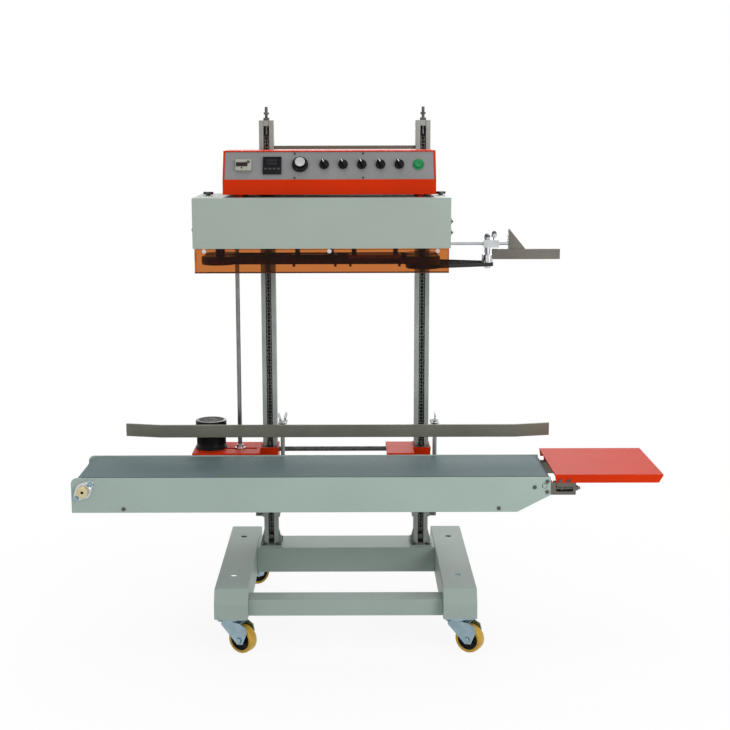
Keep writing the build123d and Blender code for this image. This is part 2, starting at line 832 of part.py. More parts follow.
def make_motor():
    cap = motor_height / 9
    body = rod_z(motor_x, motor_y, carriage_top, carriage_top + motor_height - cap, motor_radius - 1.5)
    body += rod_z(motor_x, motor_y, carriage_top, carriage_top + 6, motor_radius)
    top = carriage_top + motor_height
    cowl = rod_z(motor_x, motor_y, top - 3 * cap, top, motor_radius)
    cowl = fillet(cowl.edges().filter_by(GeomType.CIRCLE).group_by(Axis.Z)[-1], cap / 2)
    body += cowl
    bottom = carriage_top - carriage_sheet
    body += rod_z(motor_x, motor_y, bottom, carriage_top, motor_radius / 2)
    half = gearbox_size / 2
    gearbox = Pos(motor_x, motor_y, bottom - gearbox_height / 2) * Box(2 * half, 2 * half, gearbox_height)
    gearbox = fillet(gearbox.edges().filter_by(Axis.Z), gearbox_size / 12)
    add("drive_motor", body, gearbox)


def make_lift_shaft():
    """Cross shaft whose sprockets climb the two chains, one tooth pointing at each chain."""
    tip = sprocket_radius + 2.5
    root = sprocket_radius - 3.5
    left = -column_x - column_size / 2 - cheek_gap - cheek_sheet - 2
    shaft = rod_x(left, -left, lift_shaft_y, lift_shaft_z, lift_shaft_radius)
    for side in (-1, 1):
        wheel = toothed(sprocket_teeth, root, tip, 2.2, 0.6, chain_inner_width - 2 * moving_gap)
        shaft += Pos(side * column_x, lift_shaft_y, lift_shaft_z) * Rot(0, 90, 0) * Rot(0, 0, 90) * wheel
    add("lift_shaft", shaft)


def make_line_shaft():
    shaft = rod_z(drive_shaft_x, drive_shaft_y, line_shaft_bottom, line_shaft_top, line_shaft_radius)
    add("line_shaft", shaft)


def rail_strip(thickness, front, z0, z1):
    """The rail's plan, bent back at both ends, raised between two heights."""
    left, right = rail_left - rail_flare_run, rail_right + rail_flare_run
    points = [
        (left, front + rail_flare),
        (rail_left, front),
        (rail_right, front),
        (right, front + rail_flare),
        (right, front + rail_flare + thickness),
        (rail_right, front + thickness),
        (rail_left, front + thickness),
        (left, front + rail_flare + thickness),
    ]
    return prism_z(points, z0, z1)


def post_places():
    return {"left": post_left_x, "right": post_right_x}


def post_y():
    return conveyor_rear + post_radius


def slot_plate_z():
    return rail_top - 6


def make_rail():
    rail = rail_strip(rail_sheet, rail_front, rail_bottom, rail_top)
    rail += rail_strip(rail_lip, rail_front, rail_bottom, rail_bottom + rail_sheet)
    rail += rail_strip(rail_lip, rail_front, rail_top - rail_sheet, rail_top)
    z0 = slot_plate_z()
    y0 = rail_front + rail_sheet
    y1 = post_y() + slot_reach
    for x in post_places().values():
        arm = block(x - 12, x + 12, y0, y1, z0, z0 + 3)
        arm -= block(x - slot_half, x + slot_half, y0 + 8, y1 - 8, z0, z0 + 3)
        rail += arm
        rail += block(x - 12, x + 12, y0, y0 + 3, z0 - 22, z0 + 3)
    add("guard_rail", rail)


def make_posts():
    solids = []
    for x in post_places().values():
        top = slot_plate_z() - moving_gap
        post = rod_z(x, post_y(), post_bottom, top, post_radius)
        for z in (post_bottom + 8, post_bottom + 48):
            post += block(x - 11, x + 11, conveyor_rear, post_y() + 2, z, z + 14)
        post -= rod_z(x, post_y(), top - 22, top, screw_radius + running_gap)
        solids.append(post)
    add("rail_posts", *solids)


def make_wing_screws():
    z0 = slot_plate_z() + 3 + moving_gap
    for name, x in post_places().items():
        screw = rod_z(x, post_y(), z0 - 20, z0 + 10, screw_radius)
        screw += rod_z(x, post_y(), z0, z0 + 2, 9)
        screw += rod_z(x, post_y(), z0, z0 + 13, 6.5)
        right = [(5, 3), (13, 18), (14, 30), (9, 30), (3, 14)]
        wings = right + [(-u, v) for u, v in reversed(right)]
        wing = prism_y(wings, -1.5, 1.5)
        screw += Pos(x, post_y(), z0) * Rot(0, 0, wing_turn[name]) * wing
        add("wing_screw_" + name, screw)


def make_conveyor_fasteners():
    solids = []
    places = [
        (conveyor_left + 137.5, side_bottom + 10.5),
        (taper_start - 49, side_bottom + 10.5),
        (tail_roller_x - 26, tail_roller_z - 3),
        (conveyor_right - 9, tail_roller_z + 12),
        (conveyor_right - 9, tail_roller_z - 16),
    ]
    for outward in (-1, 1):
        face = conveyor_y + outward * conveyor_width / 2
        y0, y1 = sorted((face, face + outward * 3))
        for x, z in places:
            head = rod_y(x, y0, y1, z, 5)
            solids.append(head)
    for x in (table_left + 14, table_left + 36):
        solids.append(hexagon_y(x, table_front - 4, table_front, table_top - table_flange + 6, 9))
    flange_face = conveyor_rear + carriage_sheet
    z = carriage_top - carriage_sheet - 40
    outer = column_x + column_size / 2 + cheek_gap + cheek_sheet
    left = [left_plate_end + 20, (left_plate_end - outer) / 2, -outer - 20]
    right = [right_plate_end + 16, column_x - column_size / 2 - 26]
    for x in left + right:
        solids.append(hexagon_y(x, flange_face, flange_face + 5, z, 13))
    for side in (-1, 1):
        low = carriage_bottom - 8
        x = side * (outer + 12)
        for y in (cheek_front + 10, cheek_front + 30):
            solids.append(hexagon_z(x, y, low - 5, low, 13))
    add("conveyor_fasteners", *solids)


def spindle_places():
    """Every vertical spindle under the chassis: x, distance from the seal line, radius."""
    return [
        (drive_wheel_x, wheel_offset, spindle_radius),
        (idle_wheel_x, wheel_offset, spindle_radius),
        (press_wheel_x, press_offset, spindle_radius - 3),
    ]


def make_chassis():
    inset = cover_sheet
    plate = block(
        head_left + inset, head_right - inset, head_front + inset, chassis_rear, head_bottom, chassis_top
    )
    boss_top = gear_bottom - 4
    for x, offset, radius in spindle_places():
        for side in (-1, 1):
            y = seal_y + side * offset
            plate += rod_z(x, y, chassis_top, boss_top, radius + 7)
            plate -= rod_z(x, y, head_bottom, boss_top, radius + running_gap)
    plate += rod_z(drive_shaft_x, drive_shaft_y, head_bottom - 16, chassis_top + 26, 12)
    bore = line_shaft_radius + running_gap
    plate -= rod_z(drive_shaft_x, drive_shaft_y, head_bottom - 16, chassis_top + 26, bore)
    solids = [plate]
    for side in (-1, 1):
        x = side * column_x
        half = bracket_width / 2
        foot_front_y = cover_rear + 8
        shape = block(x - half, x + half, foot_front_y, column_front, chassis_top, chassis_top + 8)
        wall_top = chassis_top + bracket_rise
        shape += block(x - half, x + half, column_front - 8, column_front, chassis_top, wall_top)
        rib = [
            (foot_front_y, chassis_top + 8),
            (column_front - 8, chassis_top + 8),
            (column_front - 8, wall_top),
        ]
        for rib_x in (x - half, x + half - 5):
            shape += prism_x(rib, rib_x, rib_x + 5)
        solids.append(shape)
    add("head_chassis", *solids)


def make_cover():
    outer = block(head_left, head_right, head_front, cover_rear, head_bottom, head_top)
    outer = fillet(outer.edges().filter_by(Axis.X).group_by(Axis.Z)[-1], cover_sheet)
    s = cover_sheet
    outer -= block(head_left + s, head_right - s, head_front + s, cover_rear - s, head_bottom, head_top - s)
    outer -= block(head_left + s, head_right - s, cover_rear - s, cover_rear, head_bottom, chassis_top)
    slot = arm_radius + free_gap
    outer -= block(head_right - s, head_right, seal_y - slot, seal_y + slot, head_bottom, arm_z + slot)
    add("head_cover", outer)


def make_guard():
    s = guard_sheet
    x0, x1 = head_left + 4, head_right - 4
    y0 = head_front + cover_sheet + 2
    guard = block(x0, x1, y0, y0 + s, guard_bottom, head_bottom)
    for end0, end1 in ((x0, x0 + s), (x1 - s, x1)):
        guard += block(end0, end1, y0, y0 + guard_return, guard_bottom, head_bottom)
    guard += block(x0, x1, y0, y0 + guard_return, head_bottom - s, head_bottom)
    add("heat_guard", guard)


def make_bands():
    solids = []
    radius = band_wheel_radius + moving_gap
    for side in (-1, 1):
        y = seal_y + side * wheel_offset
        ends = ((drive_wheel_x, y), radius, (idle_wheel_x, y), radius)
        solids.append(loop_solid(Plane.XY.offset(band_bottom), *ends, band_thickness, band_width))
    add("seal_bands", *solids)


def wheel_base():
    return band_bottom - 3


def wheel_crown():
    return band_bottom + band_width + 3


def make_band_wheels():
    """Band wheels on their spindles. The drive pair carries two gears in mesh."""
    half = 2 * pi * wheel_offset / gear_teeth / 4
    gear = toothed(gear_teeth, wheel_offset - 4.2, wheel_offset + 2.8, half * 1.05, half * 0.45, gear_width)
    for name, side in (("front", -1), ("rear", 1)):
        y = seal_y + side * wheel_offset
        shape = rod_z(drive_wheel_x, y, wheel_base(), wheel_crown(), band_wheel_radius)
        shape -= rod_z(drive_wheel_x, y, wheel_base(), wheel_base() + 6, band_wheel_radius - 8)
        shape += rod_z(drive_wheel_x, y, wheel_base(), wheel_crown(), spindle_radius + 6)
        shape += rod_z(drive_wheel_x, y, wheel_base(), gear_bottom + gear_width + 6, spindle_radius)
        turn = 90 if side < 0 else 90 + 180 / gear_teeth
        shape += Pos(drive_wheel_x, y, gear_bottom + gear_width / 2) * Rot(0, 0, turn) * gear
        add("drive_wheel_" + name, shape)
        low = belt_guide_bottom - 2
        groove = wheel_offset - film_gap - belt_guide_thickness - moving_gap
        shape = rod_z(idle_wheel_x, y, low, wheel_base(), groove)
        shape += rod_z(idle_wheel_x, y, wheel_base(), wheel_crown(), band_wheel_radius)
        shape += rod_z(idle_wheel_x, y, low, gear_bottom + 4, spindle_radius)
        shape += rod_z(idle_wheel_x, y, gear_bottom - 3.5, gear_bottom + 4, spindle_radius + 5)
        add("idle_wheel_" + name, shape)
        y = seal_y + side * press_offset
        radius = spindle_radius - 3
        shape = rod_z(press_wheel_x, y, wheel_base(), wheel_crown(), press_wheel_radius)
        shape += rod_z(press_wheel_x, y, wheel_base(), gear_bottom + 4, radius)
        shape += rod_z(press_wheel_x, y, gear_bottom - 3.5, gear_bottom + 4, radius + 4)
        add("press_wheel_" + name, shape)


def seal_blocks(left, right):
    """A pair of bars astride the bands, each hung from the chassis by two studs."""
    solids = []
    for side in (-1, 1):
        y0 = seal_y + side * block_offset
        y1 = y0 + side * block_depth
        low, high = sorted((y0, y1))
        bar = block(left, right, low, high, block_bottom, block_top)
        for x in (left + 15, right - 15):
            bar += rod_z(x, (low + high) / 2, block_top, head_bottom, 4)
            bar += hexagon_z(x, (low + high) / 2, block_top, block_top + 5, 12)
        solids.append(bar)
    return solids


def make_guide_belts():
    solids = []
    near = wheel_offset - film_gap - belt_guide_thickness
    far = infeed_offset - film_gap - belt_guide_thickness
    for side in (-1, 1):
        ends = (
            (idle_wheel_x, seal_y + side * wheel_offset),
            near,
            (infeed_x, seal_y + side * infeed_offset),
            far,
        )
        plane = Plane.XY.offset(belt_guide_bottom)
        solids.append(loop_solid(plane, *ends, belt_guide_thickness, belt_guide_width))
    add("guide_belts", *solids)


def make_infeed():
    """Arm, clamp and axles for the infeed pulleys, then the channel for the bag's mouth."""
    arm_left = head_right - cover_sheet
    flange_left = fin_left - 2
    arm = rod_x(arm_left, flange_left, seal_y, arm_z, arm_radius)
    reach = infeed_offset + 14
    clamp = block(infeed_x - 12, infeed_x + 28, seal_y - reach, seal_y + reach, arm_z - 10, arm_z + 10)
    clamp -= rod_x(infeed_x - 12, infeed_x + 28, seal_y, arm_z, arm_radius)
    solids = [arm]
    axle_top = arm_z + 10
    pulley_top = guide_bottom + 13
    for name, side in (("front", -1), ("rear", 1)):
        y = seal_y + side * infeed_offset
        clamp -= rod_z(infeed_x, y, arm_z - 10, axle_top, infeed_axle_radius)
        axle_bottom, head_end = belt_guide_bottom - 6, belt_guide_bottom - 1 - moving_gap
        axle = rod_z(infeed_x, y, axle_bottom, axle_top + 10, infeed_axle_radius)
        axle += rod_z(infeed_x, y, axle_bottom, head_end, infeed_axle_radius + 4)
        axle += rod_z(infeed_x, y, pulley_top + moving_gap, arm_z - 10, infeed_axle_radius + 2)
        axle += hexagon_z(infeed_x, y, axle_top, axle_top + 6, 13)
        solids.append(axle)
        pulley = rod_z(infeed_x, y, belt_guide_bottom - 1, pulley_top, infeed_radius)
        pulley -= rod_z(infeed_x, y, belt_guide_bottom - 1, pulley_top, infeed_axle_radius + running_gap)
        add("infeed_pulley_" + name, pulley)
    screw_x = infeed_x + 18
    screw = rod_z(screw_x, seal_y, arm_z + 10, arm_z + 18, infeed_axle_radius)
    screw += hexagon_z(screw_x, seal_y, arm_z + 16, arm_z + 24, 13)
    solids += [clamp, screw]
    half = guide_slot / 2
    for side in (-1, 1):
        y0, y1 = sorted((seal_y + side * half, seal_y + side * (half + guide_sheet)))
        solids.append(block(guide_left, guide_right, y0, y1, guide_bottom, guide_top))
    lid_top = guide_top + guide_sheet
    outer = half + guide_sheet
    lid = block(guide_left, guide_right, seal_y - outer, seal_y + outer, guide_top, lid_top)
    fin = [(fin_left, lid_top), (fin_right, lid_top), (fin_left, fin_top)]
    lid += prism_y(fin, seal_y - 1.5, seal_y + 1.5)
    lid += block(flange_left, fin_left, seal_y - 12, seal_y + 12, lid_top, fin_top)
    solids.append(lid)
    for z in (fin_top - 16, fin_top - 30):
        solids.append(hexagon_x(flange_left - 4, flange_left, seal_y - 7, z, 8))
    add("infeed_guide", *solids)


def panel_place(x, rise=panel_row):
    """A place on the sloping panel's face: X across, Y up the slope, Z out to the operator."""
    lean = radians(slope_angle)
    y = box_front + rise * sin(lean) + box_sheet * cos(lean)
    z = box_lip + rise * cos(lean) - box_sheet * sin(lean)
    return Pos(x, y, z) * Rot(90 - slope_angle, 0, 0)


def make_control_box():
    outline = [
        (box_front, box_bottom),
        (box_front, box_lip),
        (box_crown_y, box_top),
        (box_rear, box_top),
        (box_rear, box_bottom),
    ]
    s = box_sheet
    lean = radians(slope_angle)
    lip_y, lip_z = box_front + s * cos(lean), box_lip - s * sin(lean)
    inside = [
        (box_front + s, box_bottom + s),
        (box_front + s, lip_z + (box_front + s - lip_y) / tan(lean)),
        (lip_y + (box_top - s - lip_z) * tan(lean), box_top - s),
        (box_rear - s, box_top - s),
        (box_rear - s, box_bottom + s),
    ]
    shell = prism_x(outline, box_left, box_right) - prism_x(inside, box_left + s, box_right - s)
    middle = (box_left + box_right) / 2
    half = (box_right - box_left) / 2 - panel_margin - s
    rise0, rise1 = panel_margin, slope_length - panel_margin
    window = Box(2 * half, rise1 - rise0, 4 * s)
    shell -= panel_place(middle, (rise0 + rise1) / 2) * window
    for x in (box_left + 40, box_right - 40):
        for y in (box_front + 30, cover_rear - 36):
            shell += rod_z(x, y, head_top, box_bottom, 9)
    shell += rod_y(box_right - 60, box_rear, box_rear + 14, box_bottom + 25, 10)
    shell += hexagon_y(box_right - 60, box_rear, box_rear + 6, box_bottom + 25, 26)
    shell -= rod_y(box_right - 60, box_rear - s, box_rear + 14, box_bottom + 25, 4.5)
    add("control_box", shell)


def selector_places():
    return [selector_first_x + step * selector_pitch for step in range(selector_count)]


def panel_size():
    across = (box_right - box_left) - 2 * (panel_margin + box_sheet - panel_overlap)
    up = slope_length - 2 * (panel_margin - panel_overlap)
    return across, up


def make_panel():
    middle = (box_left + box_right) / 2
    across, up = panel_size()
    plate = Pos(0, 0, -panel_sheet / 2) * Box(across, up, panel_sheet)
    plate = panel_place(middle, slope_length / 2) * plate
    hole = Cylinder(knob_shaft_radius + running_gap, 4 * panel_sheet)
    for x in [speed_x] + selector_places():
        plate -= panel_place(x) * hole
    ring_out = 4.0
    ring = Pos(0, 0, ring_out / 2) * Cylinder(button_radius + 3.5, ring_out)
    plate += panel_place(button_x) * ring
    plate -= panel_place(button_x) * Cylinder(button_radius + moving_gap, 6 * panel_sheet)
    well = Box(thermostat_size - 3, thermostat_size - 3, 4 * panel_sheet)
    plate -= panel_place(thermostat_x, instrument_row) * well
    plate -= panel_place(counter_x, instrument_row) * Box(32, 22, 4 * panel_sheet)
    add("control_panel", plate)


def make_instruments():
    thermostat = Pos(0, 0, 3) * Box(thermostat_size, thermostat_size, 6)
    thermostat = fillet(thermostat.edges().filter_by(Axis.Z), 2)
    inside = thermostat_size - 3 - 2 * moving_gap
    depth = 50.0
    thermostat += Pos(0, 0, -depth / 2) * Box(inside, inside, depth)
    counter = Pos(0, 0, 4) * Box(41, 31, 8)
    counter = fillet(counter.edges().filter_by(Axis.Z), 3)
    counter += Pos(0, 0, -12) * Box(32 - 2 * moving_gap, 22 - 2 * moving_gap, 24)
    counter -= Pos(13, 8, 8) * Box(6 + 2 * moving_gap, 5 + 2 * moving_gap, 14)
    counter_place = panel_place(counter_x, instrument_row)
    add("panel_instruments", panel_place(thermostat_x, instrument_row) * thermostat, counter_place * counter)
    reset = Pos(13, 8, 7.8) * Box(6, 5, 7)
    add("counter_reset", counter_place * reset)


def make_controls():
    stem = Pos(0, 0, -panel_sheet - 3) * Cylinder(knob_shaft_radius, 2 * panel_sheet + 8)
    skirt = Pos(0, 0, moving_gap + 4) * Cylinder(21, 8)
    skirt = fillet(skirt.edges().filter_by(GeomType.CIRCLE).group_by(Axis.Z)[-1], 3)
    cap = Pos(0, 0, moving_gap + 9) * Cylinder(14, 18)
    add("speed_knob", panel_place(speed_x) * (skirt + cap + stem))
    body = Pos(0, 0, moving_gap + 4) * Cylinder(selector_radius, 8)
    bar = Pos(0, 0, moving_gap + 8) * Box(8, 2 * selector_radius - 1, 16)
    turn = Rot(0, 0, 30)
    for number, x in enumerate(selector_places(), start=1):
        add("selector_knob_%d" % number, panel_place(x) * turn * (body + bar + stem))
    plunger = Pos(0, 0, 2) * Cylinder(button_radius, 12)
    plunger = fillet(plunger.edges().filter_by(GeomType.CIRCLE).group_by(Axis.Z)[-1], 2.5)
    plunger += Pos(0, 0, -5) * Cylinder(button_radius, 6)
    plunger += Pos(0, 0, -panel_sheet - 3.5) * Cylinder(button_radius + 3, 2)
    add("start_button", panel_place(button_x) * plunger)


def make_head_fasteners():
    solids = []
    for x in (head_left + 28, head_right - 18):
        screw = rod_z(x, seal_y + 33, head_top, head_top + 3, 6)
        screw += rod_z(x, seal_y + 33, head_top + 3, head_top + 10, 13)
        solids.append(screw)
    stud = rod_x(head_left - 10, head_left, seal_y - 40, head_bottom + 44, 3)
    solids.append(stud + hexagon_x(head_left - 10, head_left - 4, seal_y - 40, head_bottom + 44, 8))
    for z in (head_bottom + 35, head_bottom + 64):
        bolt = rod_x(head_right, head_right + 11, seal_y - 40, z, 3)
        solids.append(bolt + hexagon_x(head_right, head_right + 7, seal_y - 40, z, 13))
    screw = Pos(0, 0, 0.75) * Cylinder(3, 1.5)
    for x in (speed_x - 14, selector_first_x + 2.07 * selector_pitch):
        for rise in (panel_margin + 5, slope_length - panel_margin - 5):
            solids.append(panel_place(x, rise) * screw)
    for side in (-1, 1):
        x = side * column_x
        for z in (chassis_top + 30, chassis_top + 68):
            solids.append(hexagon_y(x, column_front - 13, column_front - 8, z, 13))
        for dx in (-16, 16):
            solids.append(hexagon_z(x + dx, cover_rear + 20, chassis_top + 8, chassis_top + 13, 13))
    add("head_fasteners", *solids)


def build():
    make_base()
    make_casters()
    make_columns()
    make_frame_fasteners()
    make_conveyor_frame()
    make_belt()
    make_rollers()
    make_roller_mounts()
    make_table()
    make_carriages()
    make_motor()
    make_lift_shaft()
    make_line_shaft()
    make_rail()
    make_posts()
    make_wing_screws()
    make_conveyor_fasteners()
    make_chassis()
    make_cover()
    make_guard()
    make_bands()
    make_band_wheels()
    add("heating_blocks", *seal_blocks(heater_left, heater_right))
    add("cooling_blocks", *seal_blocks(cooler_left, cooler_right))
    make_guide_belts()
    make_infeed()
    make_control_box()
    make_panel()
    make_instruments()
    make_controls()
    make_head_fasteners()


build()
os.makedirs("parts", exist_ok=True)
for name, shape in parts.items():
    export_step(Pos(-middle_x, 0, 0) * shape, "parts/" + name + ".step")
print(len(parts), "nodes written")
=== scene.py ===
import json
from math import atan2, cos, hypot, pi, radians, sin

import bmesh
import bpy
from mathutils import Matrix, Vector


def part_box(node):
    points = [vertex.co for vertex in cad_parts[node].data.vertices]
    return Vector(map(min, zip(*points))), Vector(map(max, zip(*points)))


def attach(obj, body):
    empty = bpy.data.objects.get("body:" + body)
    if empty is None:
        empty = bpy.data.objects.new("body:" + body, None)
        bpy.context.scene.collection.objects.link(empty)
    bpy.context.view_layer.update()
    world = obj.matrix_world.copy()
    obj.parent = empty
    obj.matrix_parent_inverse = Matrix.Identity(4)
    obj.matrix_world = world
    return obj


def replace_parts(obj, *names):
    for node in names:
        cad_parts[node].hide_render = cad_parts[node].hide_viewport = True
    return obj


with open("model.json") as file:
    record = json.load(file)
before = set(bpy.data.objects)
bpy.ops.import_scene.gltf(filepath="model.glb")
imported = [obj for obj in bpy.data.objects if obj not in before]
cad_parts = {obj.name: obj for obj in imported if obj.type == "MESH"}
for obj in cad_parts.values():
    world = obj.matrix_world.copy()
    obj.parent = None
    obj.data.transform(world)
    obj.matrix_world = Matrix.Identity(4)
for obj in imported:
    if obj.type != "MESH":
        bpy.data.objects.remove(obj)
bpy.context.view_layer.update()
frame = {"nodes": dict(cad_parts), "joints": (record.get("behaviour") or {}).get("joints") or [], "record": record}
record = frame["record"]
bodyOf = {node: body for body, nodes in record["behaviour"]["bodies"].items() for node in nodes}
jointAt = {joint["name"]: Vector(joint["pos_m"]) for joint in frame["joints"] if joint.get("pos_m")}
mm = 0.001
print("frame loaded:", len(frame["nodes"]), "nodes")


def setSocket(tree, socket, value):
    # a node stands for its first output
    if isinstance(value, bpy.types.Node):
        value = value.outputs[0]
    if isinstance(value, bpy.types.NodeSocket):
        tree.links.new(value, socket)
    else:
        socket.default_value = value


def addNode(tree, kind, values=None, **settings):
    made = tree.nodes.new(kind)
    for key, value in settings.items():
        setattr(made, key, value)
    for key, value in (values or {}).items():
        setSocket(tree, made.inputs[key], value)
    return made


def calc(tree, operation, *values):
    return addNode(tree, "ShaderNodeMath", dict(enumerate(values)), operation=operation).outputs[0]


def mapped(tree, value, low, high, bottom=0.0, top=1.0):
    return addNode(tree, "ShaderNodeMapRange", {0: value, 1: low, 2: high, 3: bottom, 4: top}).outputs[0]


def noise(tree, vector, scale, detail, roughness=0.5):
    values = {"Vector": vector, "Scale": scale, "Detail": detail, "Roughness": roughness}
    return addNode(tree, "ShaderNodeTexNoise", values).outputs[0]


def blendColour(tree, factor, first, second):
    return addNode(tree, "ShaderNodeMix", {0: factor, 6: first, 7: second}, data_type="RGBA").outputs[2]


def openTree(name, kind, inputs, outputs):
    tree = bpy.data.node_groups.new(name, kind)
    for label, socketKind, value in inputs:
        socket = tree.interface.new_socket(name=label, in_out="INPUT", socket_type=socketKind)
        if value is not None:
            socket.default_value = value
    for label, socketKind in outputs:
        tree.interface.new_socket(name=label, in_out="OUTPUT", socket_type=socketKind)
    return tree, tree.nodes.new("NodeGroupInput").outputs, tree.nodes.new("NodeGroupOutput").inputs


number, colourKind, vectorKind = "NodeSocketFloat", "NodeSocketColor", "NodeSocketVector"


def shaderTree(name, inputs, outputs):
    return openTree(name, "ShaderNodeTree", [("Vector", vectorKind, None)] + inputs, outputs)


def mottleGroup():
    # slow change of tone over a painted or moulded surface
    tree, given, wanted = shaderTree("mottle", [("Colour", colourKind, (0.5, 0.5, 0.5, 1)),
        ("Second", colourKind, (0.4, 0.4, 0.4, 1)), ("Scale", number, 9.0)], [("Colour", colourKind)])
    patches = mapped(tree, noise(tree, given["Vector"], given["Scale"], 4.0), 0.35, 0.65)
    tree.links.new(blendColour(tree, patches, given["Colour"], given["Second"]), wanted["Colour"])
    return tree


def grainGroup():
    # fine surface height: orange peel, casting or brushing, by how far it is stretched
    tree, given, wanted = shaderTree("grain", [("Stretch", vectorKind, (1, 1, 1)), ("Scale", number, 700.0)],
        [("Height", number)])
    values = {0: given["Vector"], 1: given["Stretch"]}
    stretched = addNode(tree, "ShaderNodeVectorMath", values, operation="MULTIPLY").outputs["Vector"]
    tree.links.new(noise(tree, stretched, given["Scale"], 3.0, 0.6), wanted["Height"])
    return tree


def wearGroup():
    # scattered rubs and chips
    tree, given, wanted = shaderTree("wear", [("Scale", number, 60.0), ("Cover", number, 0.3)],
                                     [("Mask", number)])
    wide = noise(tree, given["Vector"], given["Scale"], 6.0, 0.7)
    fine = noise(tree, given["Vector"], calc(tree, "MULTIPLY", given["Scale"], 9.0), 3.0)
    mixed = calc(tree, "ADD", calc(tree, "MULTIPLY", wide, 0.7), calc(tree, "MULTIPLY", fine, 0.3))
    low = calc(tree, "SUBTRACT", 0.78, calc(tree, "MULTIPLY", given["Cover"], 0.3))
    tree.links.new(mapped(tree, mixed, low, calc(tree, "ADD", low, 0.06)), wanted["Mask"])
    return tree


def dustGroup():
    # settles on what faces up
    tree, given, wanted = shaderTree("dust", [("Amount", number, 0.2)], [("Mask", number)])
    normal = addNode(tree, "ShaderNodeNewGeometry").outputs["Normal"]
    facing = addNode(tree, "ShaderNodeSeparateXYZ", {0: normal})
    up = mapped(tree, facing.outputs[2], 0.3, 1.0)
    patchy = mapped(tree, noise(tree, given["Vector"], 24.0, 7.0), 0.3, 0.8)
    tree.links.new(calc(tree, "MULTIPLY", calc(tree, "MULTIPLY", up, patchy), given["Amount"]),
                   wanted["Mask"])
    return tree


def weaveGroup():
    # plain weave over a strip's own length and width
    tree, given, wanted = shaderTree("weave", [("Threads", number, 900.0)], [("Height", number)])
    parts = addNode(tree, "ShaderNodeSeparateXYZ", {0: given["Vector"]}).outputs
    along, across = [calc(tree, "SINE", calc(tree, "MULTIPLY", part, given["Threads"])) for part in parts[:2]]
    tree.links.new(calc(tree, "ABSOLUTE", calc(tree, "MULTIPLY", along, across)), wanted["Height"])
    return tree


groups = {
    "mottle": mottleGroup(), "grain": grainGroup(), "wear": wearGroup(), "dust": dustGroup(),
    "weave": weaveGroup(),
}


dustColour, rubScale, coatRoughness = (0.62, 0.60, 0.56, 1), 60.0, 0.12


def finishOf(name, colour, second, rough, spread, mottle, grain, bump, depth, metal=0.0, coat=0.0,
             stretch=(1, 1, 1), wear=0.0, wearColour=(0.3, 0.3, 0.3), dust=0.0, weave=0.0, transmission=0.0,
             ior=1.5, glow=0.0, specular=0.5):
    # one finish: tone, fine height, rubs and dust, each with this finish's own values
    material = bpy.data.materials.new(name)
    material.use_nodes = True
    material.diffuse_color = (*colour, 1)
    tree = material.node_tree
    if weave:
        where = addNode(tree, "ShaderNodeUVMap", uv_map="along").outputs[0]
    else:
        where = addNode(tree, "ShaderNodeTexCoord").outputs["Object"]

    def group(kind, **values):
        return addNode(tree, "ShaderNodeGroup", dict(values, Vector=where), node_tree=groups[kind]).outputs

    second = second or tuple(0.86 * part for part in colour)
    shade = group("mottle", Colour=(*colour, 1), Second=(*second, 1), Scale=mottle)["Colour"]
    height = group("grain", Stretch=stretch, Scale=grain)["Height"]
    roughness = calc(tree, "MULTIPLY_ADD", height, 2 * spread, rough - spread)
    if wear:
        rubbed = group("wear", Scale=rubScale, Cover=wear)["Mask"]
        shade = blendColour(tree, rubbed, shade, (*wearColour, 1))
        roughness = calc(tree, "MULTIPLY_ADD", rubbed, 0.15, roughness)
    if dust:
        settled = group("dust", Amount=dust)["Mask"]
        shade = blendColour(tree, settled, shade, dustColour)
        roughness = calc(tree, "MULTIPLY_ADD", settled, 0.4, roughness)
    if weave:
        height = calc(tree, "ADD", group("weave", Threads=weave)["Height"],
                      calc(tree, "MULTIPLY", height, 0.5))
    lift = addNode(tree, "ShaderNodeBump", {"Strength": bump, "Distance": depth * mm, "Height": height})
    values = {"Base Color": (*colour, 1) if transmission else shade, "Roughness": roughness,
              "Normal": lift, "Metallic": metal, "Coat Weight": coat, "Coat Roughness": coatRoughness,
              "IOR": ior, "Specular IOR Level": specular, "Transmission Weight": transmission}
    if glow:
        values.update({"Emission Color": (*colour, 1), "Emission Strength": glow})
    for key, value in values.items():
        setSocket(tree, tree.nodes["Principled BSDF"].inputs[key], value)
    return material


